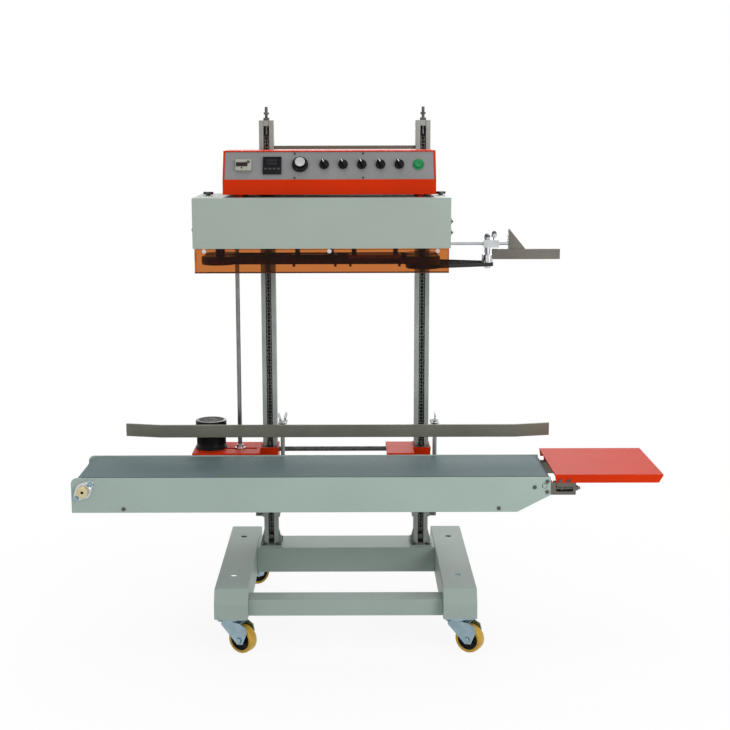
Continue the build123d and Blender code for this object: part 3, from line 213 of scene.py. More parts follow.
looks = {  # tone, second tone, roughness, its spread, mottle, grain, bump, its depth, and what else it has
    "greyGreenPaint": ((0.345, 0.435, 0.395), (0.325, 0.41, 0.37), 0.42, 0.06, 5, 620, 0.12, 0.08,
        dict(coat=0.05, dust=0.05, specular=0.3)),
    # the conveyor frame's grey-green darkened as painted shade for the low base frame; its rubs and dust are its
    # own
    "basePaint": ((0.315, 0.383, 0.35), (0.295, 0.36, 0.328), 0.46, 0.06, 5, 620, 0.12, 0.08,
        dict(wear=0.03, wearColour=(0.2, 0.23, 0.21), dust=0.04, specular=0.22)),
    "columnPaint": ((0.345, 0.385, 0.36), (0.29, 0.325, 0.3), 0.45, 0.06, 14, 620, 0.14, 0.08,
        dict(wear=0.06, wearColour=(0.15, 0.16, 0.15), specular=0.3)),
    "coverPaint": ((0.325, 0.385, 0.345), (0.305, 0.36, 0.322), 0.42, 0.06, 4, 620, 0.12, 0.08,
        dict(coat=0.05, dust=0.08, specular=0.4)),
    "orangePaint": ((0.59, 0.029, 0.001), (0.53, 0.025, 0.001), 0.4, 0.06, 6, 560, 0.12, 0.08,
        dict(dust=0.02, specular=0.07)),
    "panelGrey": ((0.222, 0.221, 0.223), (0.2, 0.2, 0.202), 0.42, 0.05, 12, 900, 0.1, 0.03,
        dict(metal=0.2, stretch=(0.06, 1, 1), specular=0.35)),
    "zincPlate": ((0.31, 0.42, 0.47), (0.24, 0.325, 0.37), 0.3, 0.1, 30, 420, 0.12, 0.04,
        dict(metal=1, wear=0.06, wearColour=(0.2, 0.23, 0.25))),
    "agedSteel": ((0.115, 0.115, 0.11), (0.07, 0.07, 0.066), 0.36, 0.12, 70, 700, 0.15, 0.05,
        dict(metal=0.95, wear=0.15, wearColour=(0.05, 0.05, 0.048))),
    "shaftSteel": ((0.2, 0.2, 0.195), (0.15, 0.15, 0.147), 0.3, 0.1, 30, 1100, 0.15, 0.04,
        dict(metal=1, stretch=(1, 1, 0.04))),
    "brightSteel": ((0.4, 0.4, 0.39), (0.32, 0.32, 0.31), 0.28, 0.1, 30, 900, 0.12, 0.04,
        dict(metal=1, stretch=(1, 1, 0.05))),
    "chrome": ((0.58, 0.6, 0.62), (0.5, 0.52, 0.54), 0.14, 0.05, 40, 500, 0.05, 0.02, dict(metal=1)),
    "railSteel": ((0.15, 0.15, 0.12), (0.125, 0.125, 0.1), 0.42, 0.1, 8, 1400, 0.14, 0.05,
        dict(metal=0.75, stretch=(0.03, 1, 1), dust=0.05)),
    "channelSteel": ((0.155, 0.144, 0.125), (0.125, 0.116, 0.1), 0.38, 0.1, 10, 1500, 0.16, 0.05,
        dict(metal=0.85, stretch=(0.04, 1, 1))),
    "chainPlate": ((0.2, 0.2, 0.19), (0.12, 0.12, 0.112), 0.34, 0.1, 90, 500, 0.15, 0.04, dict(metal=0.9)),
    # rollers take a near-black steel, darker than the plates, as painted shade in the gaps between the link plates
    "chainRoller": ((0.09, 0.088, 0.085), (0.05, 0.049, 0.047), 0.32, 0.08, 120, 700, 0.1, 0.03,
        dict(metal=1)),
    "castAluminium": ((0.34, 0.35, 0.36), (0.27, 0.28, 0.29), 0.32, 0.08, 40, 1300, 0.12, 0.04,
        dict(metal=1, stretch=(1, 1, 0.06))),
    "darkSteel": ((0.05, 0.047, 0.043), (0.03, 0.028, 0.026), 0.34, 0.1, 40, 900, 0.12, 0.04,
        dict(metal=0.9)),
    "heaterBrass": ((0.3, 0.19, 0.065), (0.22, 0.14, 0.045), 0.36, 0.08, 50, 900, 0.12, 0.04,
        dict(metal=1, wear=0.15, wearColour=(0.12, 0.08, 0.04))),
    "creamBrass": ((0.66, 0.58, 0.36), (0.58, 0.5, 0.28), 0.34, 0.08, 60, 900, 0.1, 0.03, dict(metal=0.55)),
    "beltRubber": ((0.094, 0.146, 0.155), (0.08, 0.128, 0.137), 0.6, 0.08, 3, 240, 0.35, 0.12,
        dict(stretch=(0.35, 1, 1), wear=0.02, wearColour=(0.15, 0.2, 0.2), weave=2600, specular=0.35)),
    "beltEdge": ((0.018, 0.02, 0.02), (0.012, 0.012, 0.012), 0.7, 0.08, 40, 700, 0.2, 0.1, dict()),
    "blackRubber": ((0.01, 0.01, 0.01), (0.016, 0.016, 0.015), 0.6, 0.08, 50, 900, 0.2, 0.05,
        dict(specular=0.25)),
    "bandCloth": ((0.04, 0.02, 0.01), (0.026, 0.013, 0.007), 0.46, 0.08, 30, 600, 0.4, 0.05,
        dict(weave=5200, specular=0.25)),
    "amberSheet": ((0.5, 0.155, 0.036), None, 0.05, 0.02, 12, 30, 0.05, 0.05, dict(transmission=1, ior=1.18)),
    "amberEdge": ((0.085, 0.016, 0.003), None, 0.3, 0.08, 30, 700, 0.05, 0.1, dict(specular=0.3)),
    "yellowTread": ((0.55, 0.34, 0.04), (0.47, 0.28, 0.03), 0.42, 0.08, 50, 500, 0.2, 0.06,
        dict(wear=0.25, wearColour=(0.26, 0.19, 0.1), specular=0.35)),
    "blackPlastic": ((0.0045, 0.0045, 0.005), (0.008, 0.008, 0.0085), 0.34, 0.08, 60, 1400, 0.18, 0.03,
        dict(specular=0.13)),
    "motorBlack": ((0.0035, 0.0035, 0.004), (0.007, 0.007, 0.0075), 0.4, 0.08, 40, 420, 0.25, 0.06,
        dict(specular=0.09)),
    # a near-black sheet put inside a bore as painted shade
    "paintedRecessShade": ((0.004, 0.004, 0.004), None, 0.8, 0.08, 60, 700, 0.1, 0.1, dict(specular=0.1)),
    "dialWhite": ((0.74, 0.73, 0.7), (0.7, 0.69, 0.66), 0.4, 0.08, 60, 700, 0.05, 0.1, dict()),
    "capGrey": ((0.5, 0.5, 0.5), (0.42, 0.42, 0.42), 0.34, 0.08, 60, 900, 0.1, 0.03, dict(metal=0.3)),
    "beigeBezel": ((0.37, 0.365, 0.315), (0.335, 0.33, 0.285), 0.42, 0.08, 60, 1200, 0.12, 0.03,
        dict(specular=0.3)),
    "darkLens": ((0.006, 0.005, 0.008), None, 0.12, 0.02, 30, 700, 0.02, 0.1, dict(specular=0.1)),
    "digitWheel": ((0.03, 0.008, 0.008), (0.008, 0.006, 0.006), 0.3, 0.08, 400, 700, 0.05, 0.1,
        dict(specular=0.3)),
    "segmentGrey": ((0.045, 0.048, 0.056), None, 0.3, 0.08, 90, 700, 0.05, 0.1, dict(specular=0.3)),
    "greenLens": ((0, 0.21, 0.055), (0, 0.155, 0.04), 0.22, 0.04, 120, 500, 0.1, 0.05,
        dict(coat=0.2, glow=0.08, specular=0.3)),
    "printGrey": ((0.05, 0.05, 0.05), None, 0.5, 0.08, 60, 700, 0.05, 0.1, dict(specular=0.3)),
}
finishes = {name: finishOf(name, *look[:-1], **look[-1]) for name, look in looks.items()}
print("finishes made:", len(finishes))


onAxis = 1e-9


def addFaces(bm, rings, slot=0):
    # skin between rings of points, each ring going the same way round
    rows = [[bm.verts.new(point) for point in ring] for ring in rings]
    for low, high in zip(rows, rows[1:]):
        count = len(low)
        for step in range(count):
            follow = (step + 1) % count
            bm.faces.new((low[step], low[follow], high[follow], high[step])).material_index = slot
    return rows


def addLathe(bm, profile, place=Matrix(), segments=40, slot=0):
    # profile of (radius, height) from the axis at one end to the axis at the other, or a closed ring
    inner = [point for point in profile if point[0] > onAxis]
    rings = [[place @ Vector((r * cos(2 * pi * s / segments), r * sin(2 * pi * s / segments), z))
              for s in range(segments)] for r, z in inner]
    rows = addFaces(bm, rings, slot=slot)
    first, last = rows[0], rows[-1]
    if profile[0][0] <= onAxis:
        bm.faces.new(list(reversed(first))).material_index = slot
    if profile[-1][0] <= onAxis:
        bm.faces.new(last).material_index = slot
    if len(inner) == len(profile):
        for step in range(segments):
            follow = (step + 1) % segments
            bm.faces.new((last[step], last[follow], first[follow], first[step])).material_index = slot


def addPrism(bm, outline, low, high, place=Matrix(), slot=0):
    rows = addFaces(bm, [[place @ Vector((x, y, z)) for x, y in outline] for z in (low, high)], slot=slot)
    bm.faces.new(list(reversed(rows[0]))).material_index = slot
    bm.faces.new(rows[1]).material_index = slot


def addBlock(bm, low, high, place=Matrix(), slot=0):
    x0, y0, x1, y1 = low[0], low[1], high[0], high[1]
    addPrism(bm, [(x0, y0), (x1, y0), (x1, y1), (x0, y1)], low[2], high[2], place, slot)


def turned(direction):
    return Vector(direction).to_track_quat("Z", "Y").to_matrix().to_4x4()


def addRod(bm, start, end, radius, segments=20, chamfer=0.0):
    start, end = Vector(start), Vector(end)
    span = (end - start).length
    cut = min(chamfer, radius / 3)
    profile = [(0, 0), (radius - cut, 0), (radius, cut), (radius, span - cut), (radius - cut, span),
               (0, span)]
    if not cut:
        profile = [(0, 0), (radius, 0), (radius, span), (0, span)]
    addLathe(bm, profile, Matrix.Translation(start) @ turned(end - start), segments)


def latheAt(bm, profile, place, segments=40, slot=0):
    # a lathed solid from millimetres
    addLathe(bm, [(r * mm, z * mm) for r, z in profile], place, segments, slot)


def blockAt(bm, low, high, place=Matrix(), slot=0):
    addBlock(bm, [part * mm for part in low], [part * mm for part in high], place, slot)


def begun(add, *values):
    # a new mesh that starts with one solid
    bm = bmesh.new()
    add(bm, *values)
    return bm


def roundedOutline(width, height, radius):
    steps = 5
    corners = [(1, 1, 0), (-1, 1, 90), (-1, -1, 180), (1, -1, 270)]
    return [(sx * (width / 2 - radius) + radius * cos(radians(turn + 90 * s / steps)),
             sy * (height / 2 - radius) + radius * sin(radians(turn + 90 * s / steps)))
            for sx, sy, turn in corners for s in range(steps + 1)]


def smoothed(outline):
    for _ in range(2):
        outline = [(p[0] * a + q[0] * (1 - a), p[1] * a + q[1] * (1 - a))
                   for p, q in zip(outline, outline[1:] + outline[:1]) for a in (0.75, 0.25)]
    return outline


def meshOf(bm, name, recalc=True):
    if recalc:
        bmesh.ops.recalc_face_normals(bm, faces=bm.faces)
    mesh = bpy.data.meshes.new(name)
    bm.to_mesh(mesh)
    bm.free()
    return mesh


def evaluated(piece):
    # live modifiers become the piece's own plain mesh
    bpy.context.view_layer.update()
    baked = bpy.data.meshes.new_from_object(piece.evaluated_get(bpy.context.evaluated_depsgraph_get()))
    piece.modifiers.clear()
    piece.data = baked
    return piece


edgeSize = {"sharp": 34, "worked": 30}


def newObject(name, data):
    made = bpy.data.objects.new(name, data)
    bpy.context.scene.collection.objects.link(made)
    return made


def shaded(made):
    # smooth but for the edges that turn further than a round does
    made.data.shade_smooth()
    made.data.set_sharp_from_angle(angle=radians(edgeSize["sharp"]))
    return made


def piece(name, mesh, looks, bevel=0.0, segments=2):
    if isinstance(mesh, bmesh.types.BMesh):
        mesh = meshOf(mesh, name)
    made = newObject(name, mesh)
    for look in [looks] if isinstance(looks, str) else looks:
        mesh.materials.append(finishes[look])
    if bevel:
        edge = made.modifiers.new("edge", "BEVEL")
        edge.width, edge.segments = bevel * mm, segments
        edge.limit_method = "WEIGHT" if "bevel_weight_edge" in mesh.attributes else "ANGLE"
        edge.angle_limit, edge.use_clamp_overlap = radians(edgeSize["worked"]), False
        edge.miter_outer = "MITER_ARC"
        evaluated(made)
    shaded(made)
    if bevel:
        made.modifiers.new("even", "WEIGHTED_NORMAL").keep_sharp = True
        evaluated(made)
    return made


def along(made, node):
    # a further piece on the node's body that replaces nothing
    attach(made, bodyOf[node])
    return made


def settle(made, node):
    # the piece rides with its node's body and stands for the node
    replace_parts(along(made, node), node)


def joined(node):
    # the node's own surface with its seams merged and its flat faces whole
    bm = bmesh.new()
    bm.from_mesh(frame["nodes"][node].data)
    bmesh.ops.remove_doubles(bm, verts=bm.verts, dist=1e-6)
    bmesh.ops.dissolve_limit(bm, angle_limit=radians(0.4), verts=bm.verts, edges=bm.edges)
    return bm


def islands(bm):
    # loose parts as lists of vertices, in no order
    left, found = set(bm.verts), []
    while left:
        stack, part = [left.pop()], []
        while stack:
            vertex = stack.pop()
            part.append(vertex)
            for edge in vertex.link_edges:
                other = edge.other_vert(vertex)
                if other in left:
                    left.remove(other)
                    stack.append(other)
        found.append(part)
    return found


def span(vertices):
    low = Vector([min(v.co[axis] for v in vertices) for axis in range(3)])
    high = Vector([max(v.co[axis] for v in vertices) for axis in range(3)])
    return low, high


def spans(node):
    bm = joined(node)
    order = lambda box: (round(box[0].x, 4), round(box[0].y, 4), box[0].z)
    found = sorted((span(part) for part in islands(bm)), key=order)
    bm.free()
    return found


def softened(node, look, bevel=0.8, keep=None, name=None):
    # the node's own shape with worked edges, sharp only where two of its solids meet
    bm = joined(node)
    if keep:
        dropped = [v for part in islands(bm) if not keep(*span(part)) for v in part]
        bmesh.ops.delete(bm, geom=dropped, context="VERTS")
    weight = bm.edges.layers.float.new("bevel_weight_edge")
    for edge in bm.edges:
        clean = all(near.is_manifold for vertex in edge.verts for near in vertex.link_edges)
        edge[weight] = float(clean and edge.calc_face_angle(0) > radians(edgeSize["worked"]))
    mesh = meshOf(bm, name or node + "Body", recalc=False)
    return piece(name or node + "Body", mesh, look, bevel)


def geometryTree(name, inputs):
    kind = "NodeSocketGeometry"
    inputs = [("Geometry", kind, None)] + inputs + [("Material", "NodeSocketMaterial", None)]
    return openTree(name, "GeometryNodeTree", inputs, [("Geometry", kind)])


def finishTree(tree, given, wanted, instances):
    real = addNode(tree, "GeometryNodeRealizeInstances", {0: instances})
    painted = addNode(tree, "GeometryNodeSetMaterial", {"Geometry": real, "Material": given["Material"]})
    tree.links.new(painted.outputs[0], wanted[0])
    return tree


def rowTree():
    # the unit repeated along a straight step
    tree, given, wanted = geometryTree("unitRow", [
        ("Count", "NodeSocketInt", 4), ("Start", vectorKind, (0, 0, 0)), ("Step", vectorKind, (0, 0, 0.01))])
    line = addNode(tree, "GeometryNodeMeshLine", {
        "Count": given["Count"], "Start Location": given["Start"], "Offset": given["Step"]})
    copies = addNode(tree, "GeometryNodeInstanceOnPoints", {"Points": line, "Instance": given["Geometry"]})
    return finishTree(tree, given, wanted, copies)


def ringTree():
    # the unit repeated round the Z axis, then put in place
    tree, given, wanted = geometryTree("unitRing", [
        ("Count", "NodeSocketInt", 8), ("Centre", vectorKind, (0, 0, 0)), ("Tilt", vectorKind, (0, 0, 0))])
    line = addNode(tree, "GeometryNodeMeshLine", {"Count": given["Count"], "Offset": (0, 0, 0)})
    share = calc(tree, "DIVIDE", tree.nodes.new("GeometryNodeInputIndex").outputs[0], given["Count"])
    turn = addNode(tree, "ShaderNodeCombineXYZ", {2: calc(tree, "MULTIPLY", share, 2 * pi)})
    copies = addNode(tree, "GeometryNodeInstanceOnPoints", {
        "Points": line, "Instance": given["Geometry"], "Rotation": turn})
    real = addNode(tree, "GeometryNodeRealizeInstances", {0: copies})
    placed = addNode(tree, "GeometryNodeTransform", {
        "Geometry": real, "Translation": given["Centre"], "Rotation": given["Tilt"]})
    return finishTree(tree, given, wanted, placed)


def boltTree():
    # a hexagon head, its washer and its rounded end on each point, facing the point's own direction
    tree, given, wanted = geometryTree("boltHeads", [
        ("Across", number, 0.013), ("Height", number, 0.005), ("Washer", number, 0.009)])
    size = calc(tree, "DIVIDE", given["Across"], 3 ** 0.5)
    head = addNode(tree, "GeometryNodeMeshCylinder",
                   {"Vertices": 6, "Radius": size, "Depth": given["Height"]})
    grow = lambda key, factor: calc(tree, "MULTIPLY", given[key], factor)
    crown = addNode(tree, "GeometryNodeMeshCone", {
        "Vertices": 18, "Radius Top": grow("Across", 0.40), "Radius Bottom": grow("Across", 0.485),
        "Depth": grow("Height", 0.14)})
    washer = addNode(tree, "GeometryNodeMeshCylinder", {
        "Vertices": 24, "Radius": given["Washer"], "Depth": grow("Height", 0.2)})
    lifts = [(head, grow("Height", 0.5)), (crown, given["Height"]), (washer, grow("Height", 0.1))]
    both = tree.nodes.new("GeometryNodeJoinGeometry")
    for part, height in lifts:
        up = addNode(tree, "ShaderNodeCombineXYZ", {2: height})
        moved = addNode(tree, "GeometryNodeTransform", {"Geometry": part, "Translation": up})
        tree.links.new(moved.outputs[0], both.inputs[0])
    facing = addNode(tree, "GeometryNodeInputNamedAttribute", {"Name": "facing"}, data_type="FLOAT_VECTOR")
    turn = addNode(tree, "FunctionNodeAlignRotationToVector", {"Vector": facing}, axis="Z")
    copies = addNode(tree, "GeometryNodeInstanceOnPoints", {
        "Points": given["Geometry"], "Instance": both, "Rotation": turn})
    return finishTree(tree, given, wanted, copies)


def coilTree():
    # round wire wound from the origin up Z
    tree, given, wanted = geometryTree("coil", [
        ("Turns", number, 8.0), ("Radius", number, 0.005), ("Height", number, 0.02), ("Wire", number, 0.0006),
        ("Steps", "NodeSocketInt", 18)])
    spiral = addNode(tree, "GeometryNodeCurveSpiral", {
        "Resolution": given["Steps"], "Rotations": given["Turns"], "Start Radius": given["Radius"],
        "End Radius": given["Radius"], "Height": given["Height"]})
    wire = addNode(tree, "GeometryNodeCurvePrimitiveCircle", {"Resolution": 6, "Radius": given["Wire"]},
                   mode="RADIUS")
    solid = addNode(tree, "GeometryNodeCurveToMesh",
                    {"Curve": spiral, "Profile Curve": wire, "Fill Caps": True})
    copies = addNode(tree, "GeometryNodeInstanceOnPoints", {"Points": given["Geometry"], "Instance": solid})
    return finishTree(tree, given, wanted, copies)


trees = {"row": rowTree(), "ring": ringTree(), "bolt": boltTree(), "coil": coilTree()}


def repeated(name, mesh, tree, look, **values):
    # runs one tree over a mesh and keeps the result as a plain mesh
    made = newObject(name, meshOf(mesh, name) if isinstance(mesh, bmesh.types.BMesh) else mesh)
    modifier = made.modifiers.new(name, "NODES")
    modifier.node_group = trees[tree]
    sockets = {s.name: s.identifier for s in trees[tree].interface.items_tree
               if s.item_type == "SOCKET" and s.in_out == "INPUT"}
    for key, value in dict(values, Material=finishes[look]).items():
        modifier[sockets[key]] = value
    return shaded(evaluated(made))


def ringOf(name, look, count, low, high, centre, tilt=(0, 0, 0)):
    # one block, given by its corners in millimetres, repeated round the centre
    bm = begun(blockAt, low, high)
    return repeated(name, bm, "ring", look, Count=count, Centre=centre, Tilt=tilt)


def pointsMesh(name, places, facing=None):
    mesh = bpy.data.meshes.new(name)
    mesh.from_pydata([tuple(place) for place in places], [], [])
    if facing:
        stored = mesh.attributes.new("facing", "FLOAT_VECTOR", "POINT")
        stored.data.foreach_set("vector", [part for direction in facing for part in direction])
    return mesh


def bolts(name, places, facing, look, across, height, washer):
    values = {"Across": across * mm, "Height": height * mm, "Washer": washer * mm}
    return repeated(name, pointsMesh(name, places, facing), "bolt", look, **values)


def merged(name, parts):
    # several plain pieces as one, each with its own material kept
    bm, looks = bmesh.new(), []
    for part in parts:
        start = len(bm.faces)
        bm.from_mesh(part.data)
        bm.faces.ensure_lookup_table()
        for face in list(bm.faces)[start:]:
            look = part.data.materials[face.material_index].name
            if look not in looks:
                looks.append(look)
            face.material_index = looks.index(look)
    mesh = meshOf(bm, name, recalc=False)
    for look in looks:
        mesh.materials.append(finishes[look])
    for part in parts:
        bpy.data.objects.remove(part)
    return newObject(name, mesh)


sheetWork = [  # finish, worked edge in millimetres, nodes
    # the base frame takes the grey-green paint darkened as painted shade
    ("basePaint", 1.2, "base_frame"), ("columnPaint", 0.8, "column_left column_right"),
    ("railSteel", 0.8, "tie_bar"), ("coverPaint", 0.8, "head_cover"),
    ("greyGreenPaint", 1.0, "conveyor_frame"),
    ("orangePaint", 0.8, "infeed_table carriage_left carriage_right"), ("railSteel", 0.8, "guard_rail"),
    ("brightSteel", 0.5, "head_chassis"), ("amberSheet", 0.4, "heat_guard"), ("agedSteel", 0.0, "lift_shaft"),
    ("agedSteel", 0.5, "frame_fasteners"), ("agedSteel", 0.6, "conveyor_fasteners"),
    ("zincPlate", 0.6, "caster_plates"), ("chrome", 0.7, "infeed_pulley_front infeed_pulley_rear"),
    ("darkSteel", 0.35, "drive_wheel_front drive_wheel_rear"),
    ("darkSteel", 0.5, "idle_wheel_front idle_wheel_rear"),
    ("zincPlate", 0.8, "caster_fork_front_left caster_fork_front_right"),
    ("zincPlate", 0.8, "caster_fork_rear_left caster_fork_rear_right"),
]
sheetNodes = [(node, look, bevel) for look, bevel, nodes in sheetWork for node in nodes.split()]
for node, look, bevel in sheetNodes:
    settle(softened(node, look, bevel), node)
print("sheet metal and turned parts made:", len(sheetNodes))

shaftLow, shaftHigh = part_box("line_shaft")
bm = bmesh.new()
shaftX, shaftY = (shaftLow.x + shaftHigh.x) / 2, (shaftLow.y + shaftHigh.y) / 2
shaftRadius = (shaftHigh.x - shaftLow.x) / 2
addRod(bm, (shaftX, shaftY, shaftLow.z), (shaftX, shaftY, shaftHigh.z), shaftRadius, 32, mm)
settle(piece("lineShaftBody", bm, "shaftSteel"), "line_shaft")

chainSize = {"pitch": 9.525, "waist": 2.9, "plate": 1.15, "innerHalf": 2.95, "outerHalf": 4.25,
             "roller": 3.15, "pin": 1.7, "wide": 2.9, "head": 0.08, "gap": 0.05}
sideways = Matrix(((0, 0, 1, 0), (1, 0, 0, 0), (0, 1, 0, 0), (0, 0, 0, 1)))


def linkPlates(size, half):
    pitch, rounded = size["pitch"], []
    for centre, first in ((pitch, 0), (0, 180)):
        turns = [radians(first + 22.5 * s) for s in range(9)]
        rounded += [(half * cos(turn), centre + half * sin(turn)) for turn in turns]
        rounded.append((-size["waist"] if first == 0 else size["waist"], pitch / 2))
    bm = bmesh.new()
    for side in (-1, 1):
        for reach, lift in ((size["innerHalf"], 0), (size["outerHalf"], pitch)):
            low, high = sorted((side * reach, side * (reach + size["plate"])))
            outline = [(y * mm, (z + lift) * mm) for y, z in rounded]
            addPrism(bm, outline, low * mm, high * mm, sideways)
    return meshOf(bm, "linkPlates")


def linkRollers(size, heights):
    bm = bmesh.new()
    wide = size["outerHalf"] + size["plate"] + size["head"]
    for z in heights:
        addRod(bm, (-size["wide"] * mm, 0, z * mm), (size["wide"] * mm, 0, z * mm), size["roller"] * mm, 12)
        addRod(bm, (-wide * mm, 0, z * mm), (wide * mm, 0, z * mm), size["pin"] * mm, 8)
    return meshOf(bm, "linkRollers")


def buildChains(size):
    pitch, shaftZ, parts = size["pitch"] * mm, jointAt["lift_shaft_spin"].z, []
    for count, (low, high) in enumerate(spans("lift_chains")):
        half = (high.y - low.y) / 2
        first = int((low.z + half - shaftZ) / pitch - 0.5)
        last = int((high.z - half - shaftZ) / pitch - 0.5)
        start = Vector(((low.x + high.x) / 2, (low.y + high.y) / 2, shaftZ + (first + 0.5) * pitch))
        pairs = (last - first) // 2
        values = {"Count": pairs, "Start": start, "Step": (0, 0, 2 * pitch)}
        plates, rollers = linkPlates(size, 1000 * half - size["gap"]), linkRollers(size, (0, size["pitch"]))
        parts.append(repeated("plates%d" % count, plates, "row", "chainPlate", **values))
        # the rollers' darker steel is painted shade between the link plates
        parts.append(repeated("rollers%d" % count, rollers, "row", "chainRoller", **values))
        top = linkRollers(size, (0,))
        top.transform(Matrix.Translation(start + Vector((0, 0, 2 * pairs * pitch))))
        parts.append(piece("topRoller%d" % count, top, "chainRoller"))
    return merged("liftChains", parts)


settle(buildChains(chainSize), "lift_chains")
print("chains made")


def loopPath(first, firstRadius, second, secondRadius, steps):
    du, dv = second[0] - first[0], second[1] - first[1]
    lean, path = atan2(dv, du), []
    spread = atan2((hypot(du, dv) ** 2 - (firstRadius - secondRadius) ** 2) ** 0.5,
                   firstRadius - secondRadius)
    for centre, radius, start, stop in ((second, secondRadius, lean - spread, lean + spread),
                                        (first, firstRadius, lean + spread, lean + 2 * pi - spread)):
        for step in range(steps + 1):
            turn = start + (stop - start) * step / steps
            path.append((centre[0] + radius * cos(turn), centre[1] + radius * sin(turn), cos(turn),
                         sin(turn)))
    return path


def loopMesh(name, path, thickness, low, high, place, lip):
    # the strip lies outside its path, from low to high across it
    section = [(0, low + lip), (0, high - lip), (lip, high), (thickness - lip, high),
               (thickness, high - lip), (thickness, low + lip), (thickness - lip, low), (lip, low)]
    bm = bmesh.new()
    chart = bm.loops.layers.uv.new("along")
    rows = [[bm.verts.new(place @ Vector((u + out * nu, v + out * nv, across))) for out, across in section]
            for u, v, nu, nv in path]
    travelled = [0.0]
    for before, after in zip(path, path[1:] + path[:1]):
        travelled.append(travelled[-1] + hypot(after[0] - before[0], after[1] - before[1]))
    for step, row in enumerate(rows):
        following = rows[(step + 1) % len(rows)]
        for side in range(8):
            other = (side + 1) % 8
            face = bm.faces.new((row[side], row[other], following[other], following[side]))
            face.material_index = 1 if side in (1, 2, 3, 5, 6, 7) else 0
            corners = ((step, side), (step, other), (step + 1, other), (step + 1, side))
            for loop, (length, corner) in zip(face.loops, corners):
                loop[chart].uv = (travelled[length], section[corner][0] + section[corner][1])
    return meshOf(bm, name)


beltSize = {"thickness": 2.5, "edge": 0.5}
flatRound = Matrix(((1, 0, 0, 0), (0, 0, -1, 0), (0, 1, 0, 0), (0, 0, 0, 1)))
beltLow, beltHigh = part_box("conveyor_belt")
driveAt, tailAt = jointAt["drive_roller_spin"], jointAt["tail_roller_spin"]
thick = beltSize["thickness"] * mm
driveRadius, tailRadius = beltHigh.z - driveAt.z - thick, beltHigh.z - tailAt.z - thick
path = loopPath((driveAt.x, driveAt.z), driveRadius, (tailAt.x, tailAt.z), tailRadius, 28)
mesh = loopMesh("beltLoop", path, thick, -beltHigh.y, -beltLow.y, flatRound, beltSize["edge"] * mm)
settle(piece("beltLoop", mesh, ["beltRubber", "beltEdge"]), "conveyor_belt")


def stripLoops(name, node, size, look, wheels, radii):
    # a strip round two wheels at the front and another at the rear, as one piece
    parts, thick = [], size["thickness"] * mm
    for side, (low, high) in zip(("front", "rear"), sorted(spans(node), key=lambda box: box[0].y)):
        near, far = [jointAt["%s_%s_spin" % (wheel, side)] for wheel in wheels]
        first, second = radii(low, high, near, far)
        path = loopPath((near.x, near.y), first - thick, (far.x, far.y), second - thick, size["steps"])
        mesh = loopMesh(name, path, thick, low.z, high.z, Matrix(), size["edge"] * mm)
        parts.append(piece(name + side, mesh, [look, look]))
    settle(merged(name, parts), node)


def bandRadii(low, high, near, far):
    return (high.y - low.y) / 2, (high.y - low.y) / 2


def guideRadii(low, high, near, far):
    return near.x - low.x, high.x - far.x


bandSize = {"thickness": 0.8, "edge": 0.15, "steps": 20}
stripSize = {"thickness": 1.5, "edge": 0.3, "steps": 16}
stripLoops("sealBandLoops", "seal_bands", bandSize, "bandCloth", ("drive_wheel", "idle_wheel"), bandRadii)
stripLoops("guideBeltLoops", "guide_belts", stripSize, "blackRubber", ("idle_wheel", "infeed_pulley"),
           guideRadii)
print("belts made")

knobSize = {"radius": 15.4, "groove": 12.2, "hole": 4.0, "standoff": 0.3, "bearing": 11.0}
rollerSize = {"radius": 30.0, "shaft": 10.0, "over": 2.0}
rollerLow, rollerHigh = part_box("drive_roller")
plateLow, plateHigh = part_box("conveyor_frame")
bm = begun(addRod, (driveAt.x, beltLow.y - rollerSize["over"] * mm, driveAt.z),
           (driveAt.x, beltHigh.y + rollerSize["over"] * mm, driveAt.z), rollerSize["radius"] * mm, 64,
           1.5 * mm)
addRod(bm, (driveAt.x, rollerLow.y + 4 * mm, driveAt.z), (driveAt.x, rollerHigh.y, driveAt.z),
       rollerSize["shaft"] * mm, 40, chamfer=mm)
settle(piece("driveRollerShell", bm, "brightSteel"), "drive_roller")
knobTop = plateLow.y - (knobSize["bearing"] + knobSize["standoff"]) * mm
deep = 1000 * (knobTop - rollerLow.y)
hole = knobSize["hole"]
knobProfile = [(10.1, 0), (14.2, 0), (knobSize["radius"], 1.2), (knobSize["radius"], deep - 2),
               (14.4, deep - 0.4), (13.0, deep), (knobSize["groove"], deep), (11.8, deep - 0.7),
               (9.0, deep - 0.7), (8.4, deep), (hole + 0.6, deep), (hole, deep - 0.6),
               (hole, deep - 4.0), (10.1, deep - 4.0)]
knobPlace = Matrix.Translation((driveAt.x, knobTop, driveAt.z)) @ turned((0, -1, 0))
bm = begun(latheAt, knobProfile, knobPlace, 48)
# a near-black disc just above the bottom of the knob's bore, as painted shade in the hole
latheAt(bm, [(0, deep - 3.9), (3.95, deep - 3.9), (3.95, deep - 3.6), (0, deep - 3.6)], knobPlace, 24, 1)
along(piece("driveRollerKnob", bm, ["creamBrass", "paintedRecessShade"]), "drive_roller")


def hullOf(points):
    ordered, halves = sorted(set(points)), []
    for sweep in (ordered, ordered[::-1]):
        chain = []
        for point in sweep:
            while len(chain) > 1 and ((chain[-1][0] - chain[-2][0]) * (point[1] - chain[-2][1])
                                      - (chain[-1][1] - chain[-2][1]) * (point[0] - chain[-2][0])) <= 0:
                chain.pop()
            chain.append(point)
        halves += chain[:-1]
    return halves


bearingSize = {"round": 21.6, "ear": 8.6, "pitch": 27.0, "lean": 45.0, "plate": 5.0, "boss": 19.0,
               "bore": 10.4}


